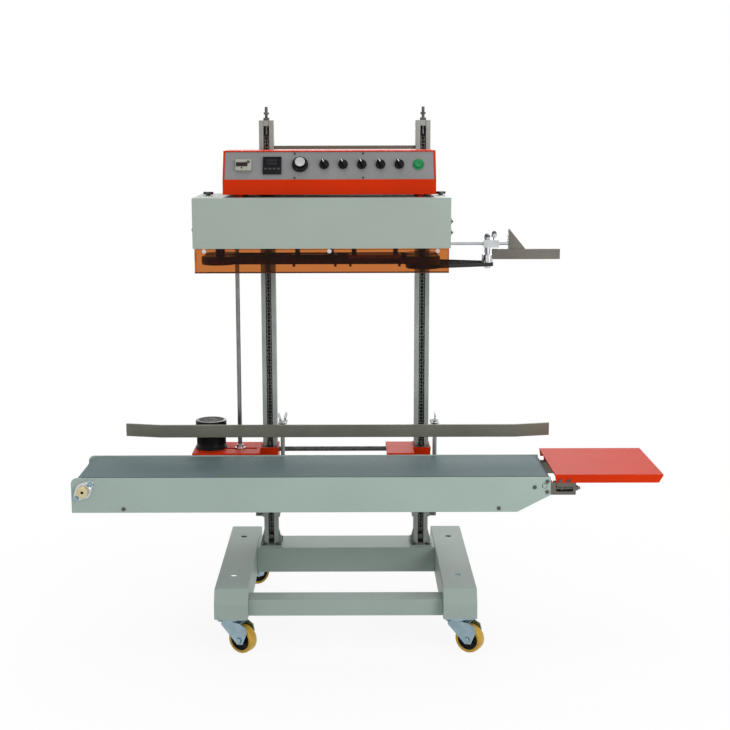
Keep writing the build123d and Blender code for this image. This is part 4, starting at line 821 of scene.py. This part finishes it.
def bearingMesh(size, depth):
    points = [(size["round"] * cos(radians(a)), size["round"] * sin(radians(a))) for a in range(0, 360, 6)]
    for way in (-1, 1):
        x = way * size["pitch"] * cos(radians(size["lean"]))
        y = way * size["pitch"] * sin(radians(size["lean"]))
        points += [(x + size["ear"] * cos(radians(a)), y + size["ear"] * sin(radians(a)))
                   for a in range(0, 360, 10)]
    outline = [(round(x, 5) * mm, round(y, 5) * mm) for x, y in hullOf(points)]
    bm = begun(addPrism, outline, 0.02 * mm, size["plate"] * mm)
    plate = piece("bearingPlate", bm, "chrome", 1.2, 3)
    bore, boss = size["bore"], size["boss"]
    profile = [(bore, 1), (bore, depth - 1.5), (bore + 0.5, depth - 1),
               (13.5, depth - 1), (14, depth), (boss - 1.5, depth), (boss, depth - 1.5),
               (boss + 0.6, 5.5), (boss + 1.6, 4.9), (boss, 1)]
    bm = begun(latheAt, profile, Matrix(), 48)
    return merged("bearing", [plate, piece("bearingBoss", bm, "chrome")])


isBearing = lambda low, high: high.y - low.y < 0.012 and low.x < driveAt.x < high.x
isCollar = lambda low, high: low.z > 0.48
isBracket = lambda low, high: not isBearing(low, high) and not isCollar(low, high)
parts = [softened("roller_mounts", "channelSteel", 0.6, isBracket, "tailBrackets"),
         softened("roller_mounts", "chrome", 0.6, isCollar, "shaftCollar")]
for low, high in [box for box in spans("roller_mounts") if isBearing(*box)]:
    front = low.y < driveAt.y
    face, way = (high.y, -1) if front else (low.y, 1)
    made = bearingMesh(dict(bearingSize, lean=bearingSize["lean"] * (1 if front else -1)),
                       1000 * (high.y - low.y))
    outward = Matrix(((1, 0, 0), (0, 0, way), (0, -way, 0))).to_4x4()
    made.data.transform(Matrix.Translation((driveAt.x, face, driveAt.z)) @ outward)
    parts.append(made)
settle(merged("rollerMounts", parts), "roller_mounts")

boltPlaces, boltFacing = [], []
for low, high in [box for box in spans("roller_mounts") if isBearing(*box)]:
    face, way = (high.y, -1) if low.y < driveAt.y else (low.y, 1)
    for end in (-1, 1):
        reach = bearingSize["pitch"] * mm * end
        across, rise = reach * cos(radians(45)), reach * sin(radians(45))
        boltPlaces.append((driveAt.x + across, face + way * bearingSize["plate"] * mm, driveAt.z + rise))
        boltFacing.append((0, way, 0))
along(bolts("bearingBolts", boltPlaces, boltFacing, "zincPlate", 10, 5, 7.5), "roller_mounts")
print("rollers and bearings made")


baseOffset = 57.0  # millimetres from the middle of the base to the middle of the frame


def at(x, y, z):
    # a place in the frame, from millimetres measured from the middle of the base
    return Vector(((x - baseOffset) * mm, y * mm, z * mm))


def tinted(made, look, test):
    # faces whose middle passes the test take a further finish
    made.data.materials.append(finishes[look])
    for face in made.data.polygons:
        if test(face.center):
            face.material_index = len(made.data.materials) - 1
    return made


beltMiddle = (plateLow.y + plateHigh.y) / 2
isAxleEnd = lambda c: abs(c.y - beltMiddle) > (plateHigh.y - plateLow.y) / 2 - 0.2 * mm
settle(tinted(softened("tail_roller", "brightSteel", 0.6), "greyGreenPaint", isAxleEnd), "tail_roller")

motorSize = {"flange": 44.6, "body": 40.2, "cowl": 44.0, "core": 42.4, "cowlFrom": 50.0, "boss": 22.0,
             "fins": 44, "slats": 40, "grille": 35.5, "bars": 30, "boxHeight": 80.0, "boxBolt": 34.0}
motorLow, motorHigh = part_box("drive_motor")
motorAt = Vector(((motorLow.x + motorHigh.x) / 2, (motorLow.y + motorHigh.y) / 2,
                  motorLow.z + (motorSize["boxHeight"] + 4) * mm))
tall, upright = 1000 * (motorHigh.z - motorAt.z), Matrix.Translation(motorAt)
boss, flange, body, cowl, core, grille, base = [
    motorSize[key] for key in ("boss", "flange", "body", "cowl", "core", "grille", "cowlFrom")]
bm = begun(latheAt, [(0, -4), (boss, -4), (boss, 0.05), (flange - 0.6, 0.05), (flange, 0.7), (flange, 4.2),
                     (44.0, 5.2), (42.6, 6.5), (41.4, 9), (body, 13), (body, base), (cowl - 0.8, base),
                     (cowl, base + 0.8), (cowl, base + 4), (core, base + 4.3), (core, tall - 9.3),
                     (cowl, tall - 9), (cowl, tall - 4), (43.0, tall - 1.6), (41.4, tall - 0.4), (39.5, tall),
                     (grille + 1, tall), (grille, tall - 0.4), (grille, tall - 1.8), (13, tall - 1.8),
                     (12.4, tall - 0.4), (11.6, tall - 0.1), (0, tall - 0.1)], upright, 72)


def isTopRim(c):
    return c.z > motorHigh.z - 1.2 * mm and hypot(c.x - motorAt.x, c.y - motorAt.y) > grille * mm


shell = tinted(piece("motorShell", bm, "motorBlack"), "shaftSteel", isTopRim)
fins = ringOf("motorFins", "motorBlack", motorSize["fins"], (body - 0.6, -0.8, 14),
              (body + 1.3, 0.8, base - 1), motorAt)
slats = ringOf("motorSlats", "motorBlack", motorSize["slats"], (core - 0.6, -1.9, base + 3.8),
               (cowl, 1.9, tall - 8.8), motorAt)
bars = ringOf("motorBars", "agedSteel", motorSize["bars"], (12.6, -0.9, tall - 1.9),
              (grille + 0.2, 0.9, tall - 0.5), motorAt)
outline = [(x * mm, y * mm) for x, y in roundedOutline(90, 90, 7.5)]
lowBox, highBox = motorLow.z - motorAt.z, -4 * mm
bm = begun(addPrism, outline, lowBox + 5 * mm, highBox - 5 * mm, upright)
gearCase = piece("gearCase", bm, "castAluminium", 1.0)
outline = [(x * mm, y * mm) for x, y in roundedOutline(84, 84, 10)]
bm = begun(addPrism, outline, lowBox, lowBox + 5.2 * mm, upright)
addPrism(bm, outline, highBox - 5.2 * mm, highBox - 0.05 * mm, upright)
gearLids = piece("gearLids", bm, "castAluminium", 0.8)
bm = bmesh.new()
for side in (-1, 1):
    for step in range(4):
        x = -27 + 18 * step
        low, high = (43.5, 45) if side > 0 else (-45, -43.5)
        blockAt(bm, (x - 1.5, low, -72), (x + 1.5, high, -12), upright)
gearRibs = piece("gearRibs", bm, "castAluminium", 0.3)
settle(merged("driveMotorBody", [shell, fins, slats, bars, gearCase, gearLids, gearRibs]), "drive_motor")
reach = motorSize["boxBolt"] * mm
places = [motorAt + Vector((x * reach, y * reach, lowBox)) for x in (-1, 1) for y in (-1, 1)]
along(bolts("gearBolts", places, [(0, 0, -1)] * 4, "agedSteel", 10, 4, 7.5), "drive_motor")
print("motor made")

wheelSize = {"rib": 2.6, "ribs": 6}
treadProfile = [(28.9, -14.6), (33.0, -15), (35.4, -14.2), (36.8, -12.2), (37.4, -9), (37.5, 0), (37.4, 9),
                (36.8, 12.2), (35.4, 14.2), (33.0, 15), (28.9, 14.6)]
hubProfile = [(5.1, -16.6), (10.2, -16.6), (11, -15.8), (11, -12), (12.2, -9.5), (23.6, -9.5), (25.2, -12.8),
              (28.9, -13), (28.9, 13), (25.2, 12.8), (23.6, 9.5), (12.2, 9.5), (11, 12), (11, 15.8),
              (10.2, 16.6), (5.1, 16.6)]
for place in ("front_left", "front_right", "rear_left", "rear_right"):
    node, centre = "caster_wheel_" + place, jointAt["roll_" + place]
    axis = next(Vector(joint["axis"]) for joint in frame["joints"] if joint["name"] == "roll_" + place)
    tilt = axis.to_track_quat("Z", "X").to_matrix().to_4x4()
    stand = Matrix.Translation(centre) @ tilt
    bm = begun(latheAt, treadProfile, stand, 72)
    latheAt(bm, hubProfile, stand, 56, 1)
    rim = piece("rim" + place, bm, ["yellowTread", "blackPlastic"])
    ribs = ringOf("ribs" + place, "blackPlastic", wheelSize["ribs"], (11.5, -wheelSize["rib"] / 2, -12.2),
                  (25, wheelSize["rib"] / 2, 12.2), centre, tuple(tilt.to_euler()))
    settle(merged("casterWheel_" + place, [rim, ribs]), node)
print("casters made")

postSize = {"radius": 6.0, "bore": 4.3, "deep": 21.6, "clamps": ((8, 22), (48, 62)), "half": 11.0,
            "front": -6.0, "rear": 2.0}
wingSize = {"turn": {"left": 25.0, "right": 90.0}, "base": 572.3,
            "outline": [(3, 2.4), (6, 3), (13.4, 17), (15, 27), (13.6, 31), (9.5, 31), (8, 26), (3, 13)]}
parts = []
for side, (low, high) in zip(("left", "right"), sorted(spans("rail_posts"), key=lambda box: box[0].x)):
    centre = jointAt["wing_screw_%s_turn" % side]
    tall = 1000 * (high.z - low.z)
    foot = Matrix.Translation((centre.x, centre.y, low.z))
    r, bore = postSize["radius"], postSize["bore"]
    bm = begun(latheAt, [(0, 0), (r - 0.8, 0), (r, 0.8), (r, tall - 0.8), (r - 0.6, tall), (bore, tall),
                         (bore, tall - postSize["deep"]), (0, tall - postSize["deep"])], foot, 28)
    for z0, z1 in postSize["clamps"]:
        blockAt(bm, (-postSize["half"], postSize["front"], z0), (postSize["half"], postSize["rear"], z1),
                foot)
    parts.append(piece("post" + side, bm, "brightSteel", 0.4))
    stand = Matrix.Translation((centre.x, centre.y, wingSize["base"] * mm))
    bm = begun(latheAt, [(0, -20), (3.2, -20), (3.8, -19.4), (3.8, 0), (8.6, 0), (9, 0.4), (9, 1.6), (8.6, 2),
                         (6.5, 2), (6.5, 4), (6.0, 11.2), (5.0, 12.8), (0, 13)], stand, 32)
    turn = stand @ Matrix.Rotation(radians(wingSize["turn"][side]), 4, "Z")
    for way in (-1, 1):
        outline = smoothed([(way * u * mm, v * mm) for u, v in wingSize["outline"]])
        addPrism(bm, outline, -1.5 * mm, 1.5 * mm, turn @ flatRound)
    settle(piece("wingScrew_" + side, bm, "chrome", 0.5), "wing_screw_" + side)
settle(merged("railPosts", parts), "rail_posts")
print("rail posts and wing screws made")

blockSize = {"top": 1059.0, "inset": 15.0, "stud": 4.0, "nut": 12.0, "nutHeight": 5.0, "springRadius": 6.2,
             "wire": 0.8, "turns": 5.0, "fin": 1.4, "finDeep": 4.5, "pitch": 4.6, "stub": 3.4,
             "stubDrop": 9.0}


def sealBlocks(node, look, finned, size):
    parts, coils, top = [], [], size["top"] * mm
    nutTop = (size["top"] + size["nutHeight"]) * mm
    middle = jointAt["drive_wheel_front_spin"].y / 2 + jointAt["drive_wheel_rear_spin"].y / 2
    for count, (low, high) in enumerate(spans(node)):
        front = low.y < middle - mm
        deep = size["finDeep"] * mm if finned else 0
        y0, y1 = (low.y + deep, high.y) if front else (low.y, high.y - deep)
        bm = begun(addBlock, (low.x, y0, low.z), (high.x, y1, top))
        parts.append(piece("block%s%d" % (node, count), bm, look, 0.7))
        bm = bmesh.new()
        y = (low.y + high.y) / 2
        for x in (low.x + size["inset"] * mm, high.x - size["inset"] * mm):
            addRod(bm, (x, y, top), (x, y, high.z), size["stud"] * mm, 20)
            reach = size["nut"] * mm / 3 ** 0.5
            hexagon = [(x + reach * cos(radians(60 * s)), y + reach * sin(radians(60 * s))) for s in range(6)]
            addPrism(bm, hexagon, top, nutTop)
            coils.append((x, y, nutTop))
        for x in (low.x + 5 * mm, high.x - 5 * mm):
            addRod(bm, (x, y, low.z - size["stubDrop"] * mm), (x, y, low.z), size["stub"] * mm, 16,
                   chamfer=0.5 * mm)
        parts.append(piece("studs%s%d" % (node, count), bm, "darkSteel", 0.2))
        if finned:
            y0, y1 = (low.y, low.y + deep + 0.2 * mm) if front else (high.y - deep - 0.2 * mm, high.y)
            bm = begun(addBlock, (0, y0, low.z + mm), (size["fin"] * mm, y1, (size["top"] - 1) * mm))
            steps = int((high.x - low.x) / (size["pitch"] * mm))
            parts.append(repeated("fins%s%d" % (node, count), bm, "row", look, Count=steps,
                                  Start=(low.x + 1.5 * mm, 0, 0), Step=(size["pitch"] * mm, 0, 0)))
    parts.append(repeated("springs" + node, pointsMesh("springs", coils), "coil", "darkSteel",
                          Turns=size["turns"], Radius=size["springRadius"] * mm,
                          Height=high.z - nutTop, Wire=size["wire"] * mm,
                          Steps=16))
    return merged(node.replace("_b", "B"), parts)


settle(sealBlocks("heating_blocks", "heaterBrass", False, blockSize), "heating_blocks")
settle(sealBlocks("cooling_blocks", "darkSteel", True, blockSize), "cooling_blocks")

pressSize = {"radius": 20.0, "top": 1059.4, "low": 1039.0, "ribs": 52}
for side in ("front", "rear"):
    node, centre = "press_wheel_" + side, jointAt["press_wheel_%s_spin" % side]
    core = tinted(softened(node, "blackRubber", 0.5), "agedSteel", lambda c: c.z > pressSize["top"] * mm)
    ribs = ringOf("knurl" + side, "blackRubber", pressSize["ribs"],
                  (pressSize["radius"] - 0.5, -0.5, pressSize["low"]),
                  (pressSize["radius"] + 0.05, 0.5, pressSize["top"] - 1.4), (centre.x, centre.y, 0))
    settle(merged("pressWheel_" + side, [core, ribs]), node)

domeSize = {"axle": 378.0, "screw": 396.0, "middle": -153.0, "offset": 15.2, "dome": 6.2, "axleTop": 1104.0,
            "screwTop": 1112.0}
isPlate = lambda low, high: high.x - low.x > 0.1 and high.z - low.z > 0.02
bm = bmesh.new()
r = domeSize["dome"]
dome = [(0, 0), (r, 0)] + [(r * cos(radians(15 * s)), 1.6 + r * sin(radians(15 * s)))
                           for s in range(6)] + [(0, 1.6 + r)]
tops = [(domeSize["axle"], side * domeSize["offset"], domeSize["axleTop"]) for side in (-1, 1)]
for x, y, z in tops + [(domeSize["screw"], 0, domeSize["screwTop"])]:
    latheAt(bm, dome, Matrix.Translation(at(x, domeSize["middle"] + y, z)), 28)
settle(merged("infeedGuideBody", [
    softened("infeed_guide", "channelSteel", 0.5, isPlate, "guideChannel"),
    softened("infeed_guide", "chrome", 0.5, lambda low, high: not isPlate(low, high), "guideArm"),
    piece("guideDomes", bm, "agedSteel")]), "infeed_guide")
print("sealing parts and infeed guide made")

slopeSize = {"front": -240.0, "lip": 1256.5, "crown": -200.0, "top": 1331.5, "sheet": 2.0, "row": 45.0,
             "lowRow": 42.0}
lean = atan2(slopeSize["crown"] - slopeSize["front"], slopeSize["top"] - slopeSize["lip"])


def onPanel(x, rise=slopeSize["row"]):
    # X across, Y up the slope, Z out of the panel's face
    y = slopeSize["front"] + rise * sin(lean) + slopeSize["sheet"] * cos(lean)
    z = slopeSize["lip"] + rise * cos(lean) - slopeSize["sheet"] * sin(lean)
    axes = Matrix(((1, 0, 0), (0, sin(lean), -cos(lean)), (0, cos(lean), sin(lean))))
    return Matrix.Translation(at(x, y, z)) @ axes.to_4x4()


panelTilt = (pi / 2 - lean, 0, 0)
buttonSize = {"x": 191.0, "ring": 15.0}
buttonBack = onPanel(buttonSize["x"]).inverted()


def inButtonRing(c):
    near = buttonBack @ c
    return near.z > 0.25 * mm and hypot(near.x, near.y) < buttonSize["ring"] * mm


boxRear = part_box("control_box")[1].y - 14 * mm
isGland = lambda c: c.y > boxRear + 0.3 * mm
settle(tinted(softened("control_box", "orangePaint", 0.8), "blackPlastic", isGland), "control_box")
settle(tinted(softened("control_panel", "panelGrey", 0.4), "greenLens", inButtonRing), "control_panel")

dialSize = {"x": -114.0, "from": 23.6, "to": 26.4, "wide": 0.7, "marks": 12}
marks = ringOf("dialMarks", "printGrey", dialSize["marks"], (dialSize["from"], -dialSize["wide"] / 2, -0.1),
               (dialSize["to"], dialSize["wide"] / 2, 0.08), onPanel(dialSize["x"]).translation, panelTilt)
along(marks, "control_panel")

meterSize = {"x": -186.0, "face": 6.0, "screen": (-20.0, -5.0, 20.0, 20.0), "digits": 6, "pitch": 4.6,
             "keys": 4, "strokes": [(0.7, 2.5, 2.8, 3.1), (0.7, -3.1, 2.8, -2.5), (0.4, -2.5, 1.0, 2.5),
                                    (2.5, -2.5, 3.1, 2.5), (0.7, -0.3, 2.8, 0.3)]}
counterSize = {"x": -260.0, "face": 8.0, "window": (-18.8, -4.9, 10.8, 6.8), "wheels": 5, "pitch": 5.8}
meter, counter = onPanel(meterSize["x"], slopeSize["lowRow"]), onPanel(counterSize["x"], slopeSize["lowRow"])
split = (meter.translation.x + counter.translation.x) / 2
face, front = meterSize["face"], counterSize["face"]
parts = [softened("panel_instruments", "blackPlastic", 0.5, lambda low, high: low.x > split, "meterCase"),
         softened("panel_instruments", "beigeBezel", 0.5, lambda low, high: low.x < split, "counterCase")]
bm = bmesh.new()
x0, y0, x1, y1 = meterSize["screen"]
blockAt(bm, (x0, y0, face - 0.1), (x1, y1, face + 0.25), meter)
x0, y0, x1, y1 = counterSize["window"]
blockAt(bm, (x0, y0, front - 0.1), (x1, y1, front + 0.1), counter)
parts.append(piece("instrumentLenses", bm, "darkLens", 0.08))
bm = bmesh.new()
left, bottom, right, top = x0 - 1.2, y0 - 1.2, x1 + 1.2, y1 + 1.2
for low, high in (((left, bottom), (right, y0)), ((left, y1), (right, top)), ((left, y0), (x0, y1)),
                  ((x1, y0), (right, y1))):
    blockAt(bm, (*low, front - 0.1), (*high, front + 0.8), counter)
parts.append(piece("counterRim", bm, "beigeBezel", 0.25))
bm = begun(latheAt, [(0, front - 0.2), (2.4, front - 0.2), (2.4, front + 0.6), (2.0, front + 1),
                     (0, front + 1)], counter @ Matrix.Translation((-4 * mm, -8.6 * mm, 0)), 24)
parts.append(piece("counterPeg", bm, "segmentGrey"))
bm = begun(blockAt, (x0 + 0.4, y0 + 0.8, front), (x0 + 4.8, y1 - 0.8, front + 0.4), counter)
parts.append(repeated("counterWheels", bm, "row", "digitWheel", Count=counterSize["wheels"],
                      Step=(counterSize["pitch"] * mm, 0, 0)))
bm = bmesh.new()
for x0, y0, x1, y1 in meterSize["strokes"]:
    for rise in (13.0, 3.4):
        blockAt(bm, (x0 - 14.0, y0 + rise, face + 0.2), (x1 - 14.0, y1 + rise, face + 0.35), meter)
parts.append(repeated("meterDigits", bm, "row", "segmentGrey", Count=meterSize["digits"],
                      Step=(meterSize["pitch"] * mm, 0, 0)))
outline = [((x - 16.5) * mm, (y - 11.0) * mm) for x, y in roundedOutline(7, 5, 1)]
bm = begun(addPrism, outline, (face - 0.1) * mm, (face + 0.9) * mm, meter)
parts.append(repeated("meterKeys", bm, "row", "segmentGrey", Count=meterSize["keys"], Step=(0.011, 0, 0)))
settle(merged("panelInstruments", parts), "panel_instruments")
settle(softened("counter_reset", "printGrey", 0.6), "counter_reset")

knobProfile = [(0, -13), (2.95, -13), (2.95, 0.3), (20.5, 0.3), (21, 0.9), (21, 4.4), (20.5, 6.6),
               (19.2, 7.9), (17.5, 8.3), (14.6, 8.6), (14, 9.4), (13.5, 17.2), (12.9, 17.9), (0, 18)]
knobCap = [(0, 17.95), (12.6, 17.95), (12.8, 18.15), (12.5, 18.45), (11.6, 18.55), (10.8, 18.3), (0, 18.25)]
stand = onPanel(dialSize["x"])
bm = begun(latheAt, knobProfile, stand, 64)
latheAt(bm, knobCap, stand, 48, 1)
blockAt(bm, (-0.6, 14.9, 8.2), (0.6, 20.2, 8.6), stand @ Matrix.Rotation(radians(150), 4, "Z"), 2)
knob = piece("knobBody", bm, ["blackPlastic", "capGrey", "segmentGrey"])
grip = ringOf("knobGrip", "blackPlastic", 32, (13.2, -0.55, 9.8), (14.3, 0.55, 16.6), stand.translation,
              panelTilt)
settle(merged("speedKnob", [knob, grip]), "speed_knob")

selectorSize = {"first": -52.0, "pitch": 48.4, "turn": 30.0, "top": 16.3}
selectorProfile = [(0, -13), (2.95, -13), (2.95, 0.3), (12.0, 0.3), (12.5, 0.8), (12.5, 4.6), (11.9, 7.0),
                   (10.6, 8.2), (0, 8.6)]
peak = selectorSize["top"]
for step in range(5):
    turn = Matrix.Rotation(radians(selectorSize["turn"]), 4, "Z")
    stand = onPanel(selectorSize["first"] + step * selectorSize["pitch"]) @ turn
    bm = begun(latheAt, selectorProfile, stand, 48)
    rings = []
    for wide, long, z in ((8.4, 23.6, 5.0), (8.0, 23.8, 10.0), (7.0, 23.6, 14.6),
                          (6.0, 22.8, peak - 0.4), (5.0, 21.6, peak)):
        rings.append([stand @ Vector((x * mm, y * mm, z * mm)) for x, y in roundedOutline(wide, long, 2.4)])
    rows = addFaces(bm, rings)
    bm.faces.new(rows[-1])
    bm.faces.new(list(reversed(rows[0])))
    blockAt(bm, (-1.2, 2.0, peak - 0.2), (1.2, 10.6, peak + 0.2), stand, 1)
    blockAt(bm, (-1.2, 11.2, 9.0), (1.2, 12.05, 14.6), stand, 1)
    knob = piece("selectorKnob%d" % (step + 1), bm, ["blackPlastic", "dialWhite"])
    settle(knob, "selector_knob_%d" % (step + 1))

buttonProfile = [(0, -8), (10.9, -8), (10.9, -7.5), (13.9, -7.5), (13.9, -5.5), (10.9, -5.5), (10.9, 5.6),
                 (10.6, 6.9), (9.7, 7.8), (8.6, 8), (7.6, 7.6), (0, 7.3)]
bm = begun(latheAt, buttonProfile, onPanel(buttonSize["x"]), 48)
settle(piece("startButton", bm, "greenLens"), "start_button")
print("control panel made")

isPanelScrew = lambda c: c.z > 1.2545 and c.y < -0.190
settle(tinted(softened("head_fasteners", "agedSteel", 0.5), "printGrey", isPanelScrew), "head_fasteners")
thumbSize = {"places": (-362.0, 255.0), "y": -120.0, "low": 1216.4, "tall": 6.2, "radius": 13.0, "ribs": 42}
for x in thumbSize["places"]:
    low = (thumbSize["radius"] - 0.6, -0.45, 0)
    high = (thumbSize["radius"] + 0.35, 0.45, thumbSize["tall"])
    along(ringOf("thumbRibs%d" % int(abs(x)), "agedSteel", thumbSize["ribs"], low, high,
                 at(x, thumbSize["y"], thumbSize["low"])), "head_fasteners")
guardLow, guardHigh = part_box("heat_guard")
lipSize = {"tall": 2.4, "proud": 0.12}
proud = lipSize["proud"] * mm
bm = begun(addBlock, (guardLow.x, guardLow.y - proud, guardLow.z),
           (guardHigh.x, guardHigh.y + proud, guardLow.z + lipSize["tall"] * mm))
along(piece("guardLip", bm, "amberEdge", 0.3), "heat_guard")
places = [(guardLow.x + share * (guardHigh.x - guardLow.x), guardLow.y, guardHigh.z - 6.5 * mm)
          for share in (0.038, 0.53, 0.955)]
along(bolts("guardScrews", places, [(0, -1, 0)] * 3, "chrome", 8, 4, 5.5), "head_fasteners")
rodSize = {"x": 219.0, "y": 102.0, "from": 1418.5, "to": 1447.6, "pitch": 1.3}
places = [at(side * rodSize["x"], rodSize["y"], rodSize["from"]) for side in (-1, 1)]
threaded = rodSize["to"] - rodSize["from"]
threads = repeated("rodThreads", pointsMesh("rodThreads", places), "coil", "agedSteel", Radius=0.004,
                   Turns=threaded / rodSize["pitch"], Height=threaded * mm, Wire=0.0004, Steps=16)
along(threads, "frame_fasteners")
print("small hardware made")

studio = {"camera": (-0.0421, -3.7407, 1.380), "pitch": 80.2, "roll": 0.15, "lens": 66.7, "shift": 0.0205,
          "floor": 14.0, "aim": (0, 0, 0.75)}


def seenRays(tree):
    # rays that look at a surface, not those that only light it
    rays = addNode(tree, "ShaderNodeLightPath").outputs
    glassy = calc(tree, "MAXIMUM", rays["Is Glossy Ray"], rays["Is Transmission Ray"])
    return calc(tree, "MAXIMUM", rays["Is Camera Ray"], glassy)


floorMesh, reach = bpy.data.meshes.new("studioFloor"), studio["floor"] / 2
corners = [(-reach, -reach, 0), (reach, -reach, 0), (reach, reach, 0), (-reach, reach, 0)]
floorMesh.from_pydata(corners, [], [(0, 1, 2, 3)])
floor = newObject("studioFloor", floorMesh)
pale = bpy.data.materials.new("paleFloor")
pale.use_nodes = True
tree = pale.node_tree
shader, out = tree.nodes["Principled BSDF"], tree.nodes["Material Output"]
shader.inputs["Base Color"].default_value = (0.86, 0.86, 0.86, 1)
shader.inputs["Roughness"].default_value = 0.75
where = addNode(tree, "ShaderNodeTexCoord").outputs["Object"]
far = addNode(tree, "ShaderNodeVectorMath", {0: where}, operation="LENGTH").outputs["Value"]
share = calc(tree, "MULTIPLY", seenRays(tree), mapped(tree, far, 0.5, 1.5, 0.90, 1.0))
white = addNode(tree, "ShaderNodeEmission", {0: (1, 1, 1, 1), 1: 1.0})
mix = addNode(tree, "ShaderNodeMixShader", {0: share, 1: shader.outputs[0], 2: white.outputs[0]})
tree.links.new(mix.outputs[0], out.inputs[0])
floorMesh.materials.append(pale)

world = bpy.data.worlds.new("studioWorld")
bpy.context.scene.world = world
world.use_nodes = True
tree = world.node_tree
back = tree.nodes["Background"]
back.inputs[0].default_value = (1, 1, 1, 1)
tree.links.new(mapped(tree, seenRays(tree), 0.0, 1.0, 0.50, 1.0), back.inputs[1])

lamps = {  # place, size, watts
    "keyLamp": ((-1.8, -3.1, 1.9), 2.4, 13), "fillLamp": ((2.4, -2.9, 1.9), 2.4, 66),
    "topLamp": ((0.0, 0.3, 3.6), 2.6, 26), "backLamp": ((0.4, 2.6, 2.2), 2.4, 26),
}
for name, (place, size, watts) in lamps.items():
    lamp = bpy.data.lights.new(name, "AREA")
    lamp.shape, lamp.size, lamp.energy = "DISK", size, watts
    holder = newObject(name, lamp)
    holder.location = place
    holder.rotation_euler = (Vector(studio["aim"]) - Vector(place)).to_track_quat("-Z", "Y").to_euler()

lens = bpy.data.cameras.new("camera")
lens.sensor_width, lens.lens, lens.shift_x = 36, studio["lens"], studio["shift"]
camera = newObject("camera", lens)
camera.location = studio["camera"]
camera.rotation_euler = (radians(studio["pitch"]), radians(studio["roll"]), 0)
bpy.context.scene.camera = camera
bpy.context.scene.view_settings.view_transform = "Standard"
print("studio made")
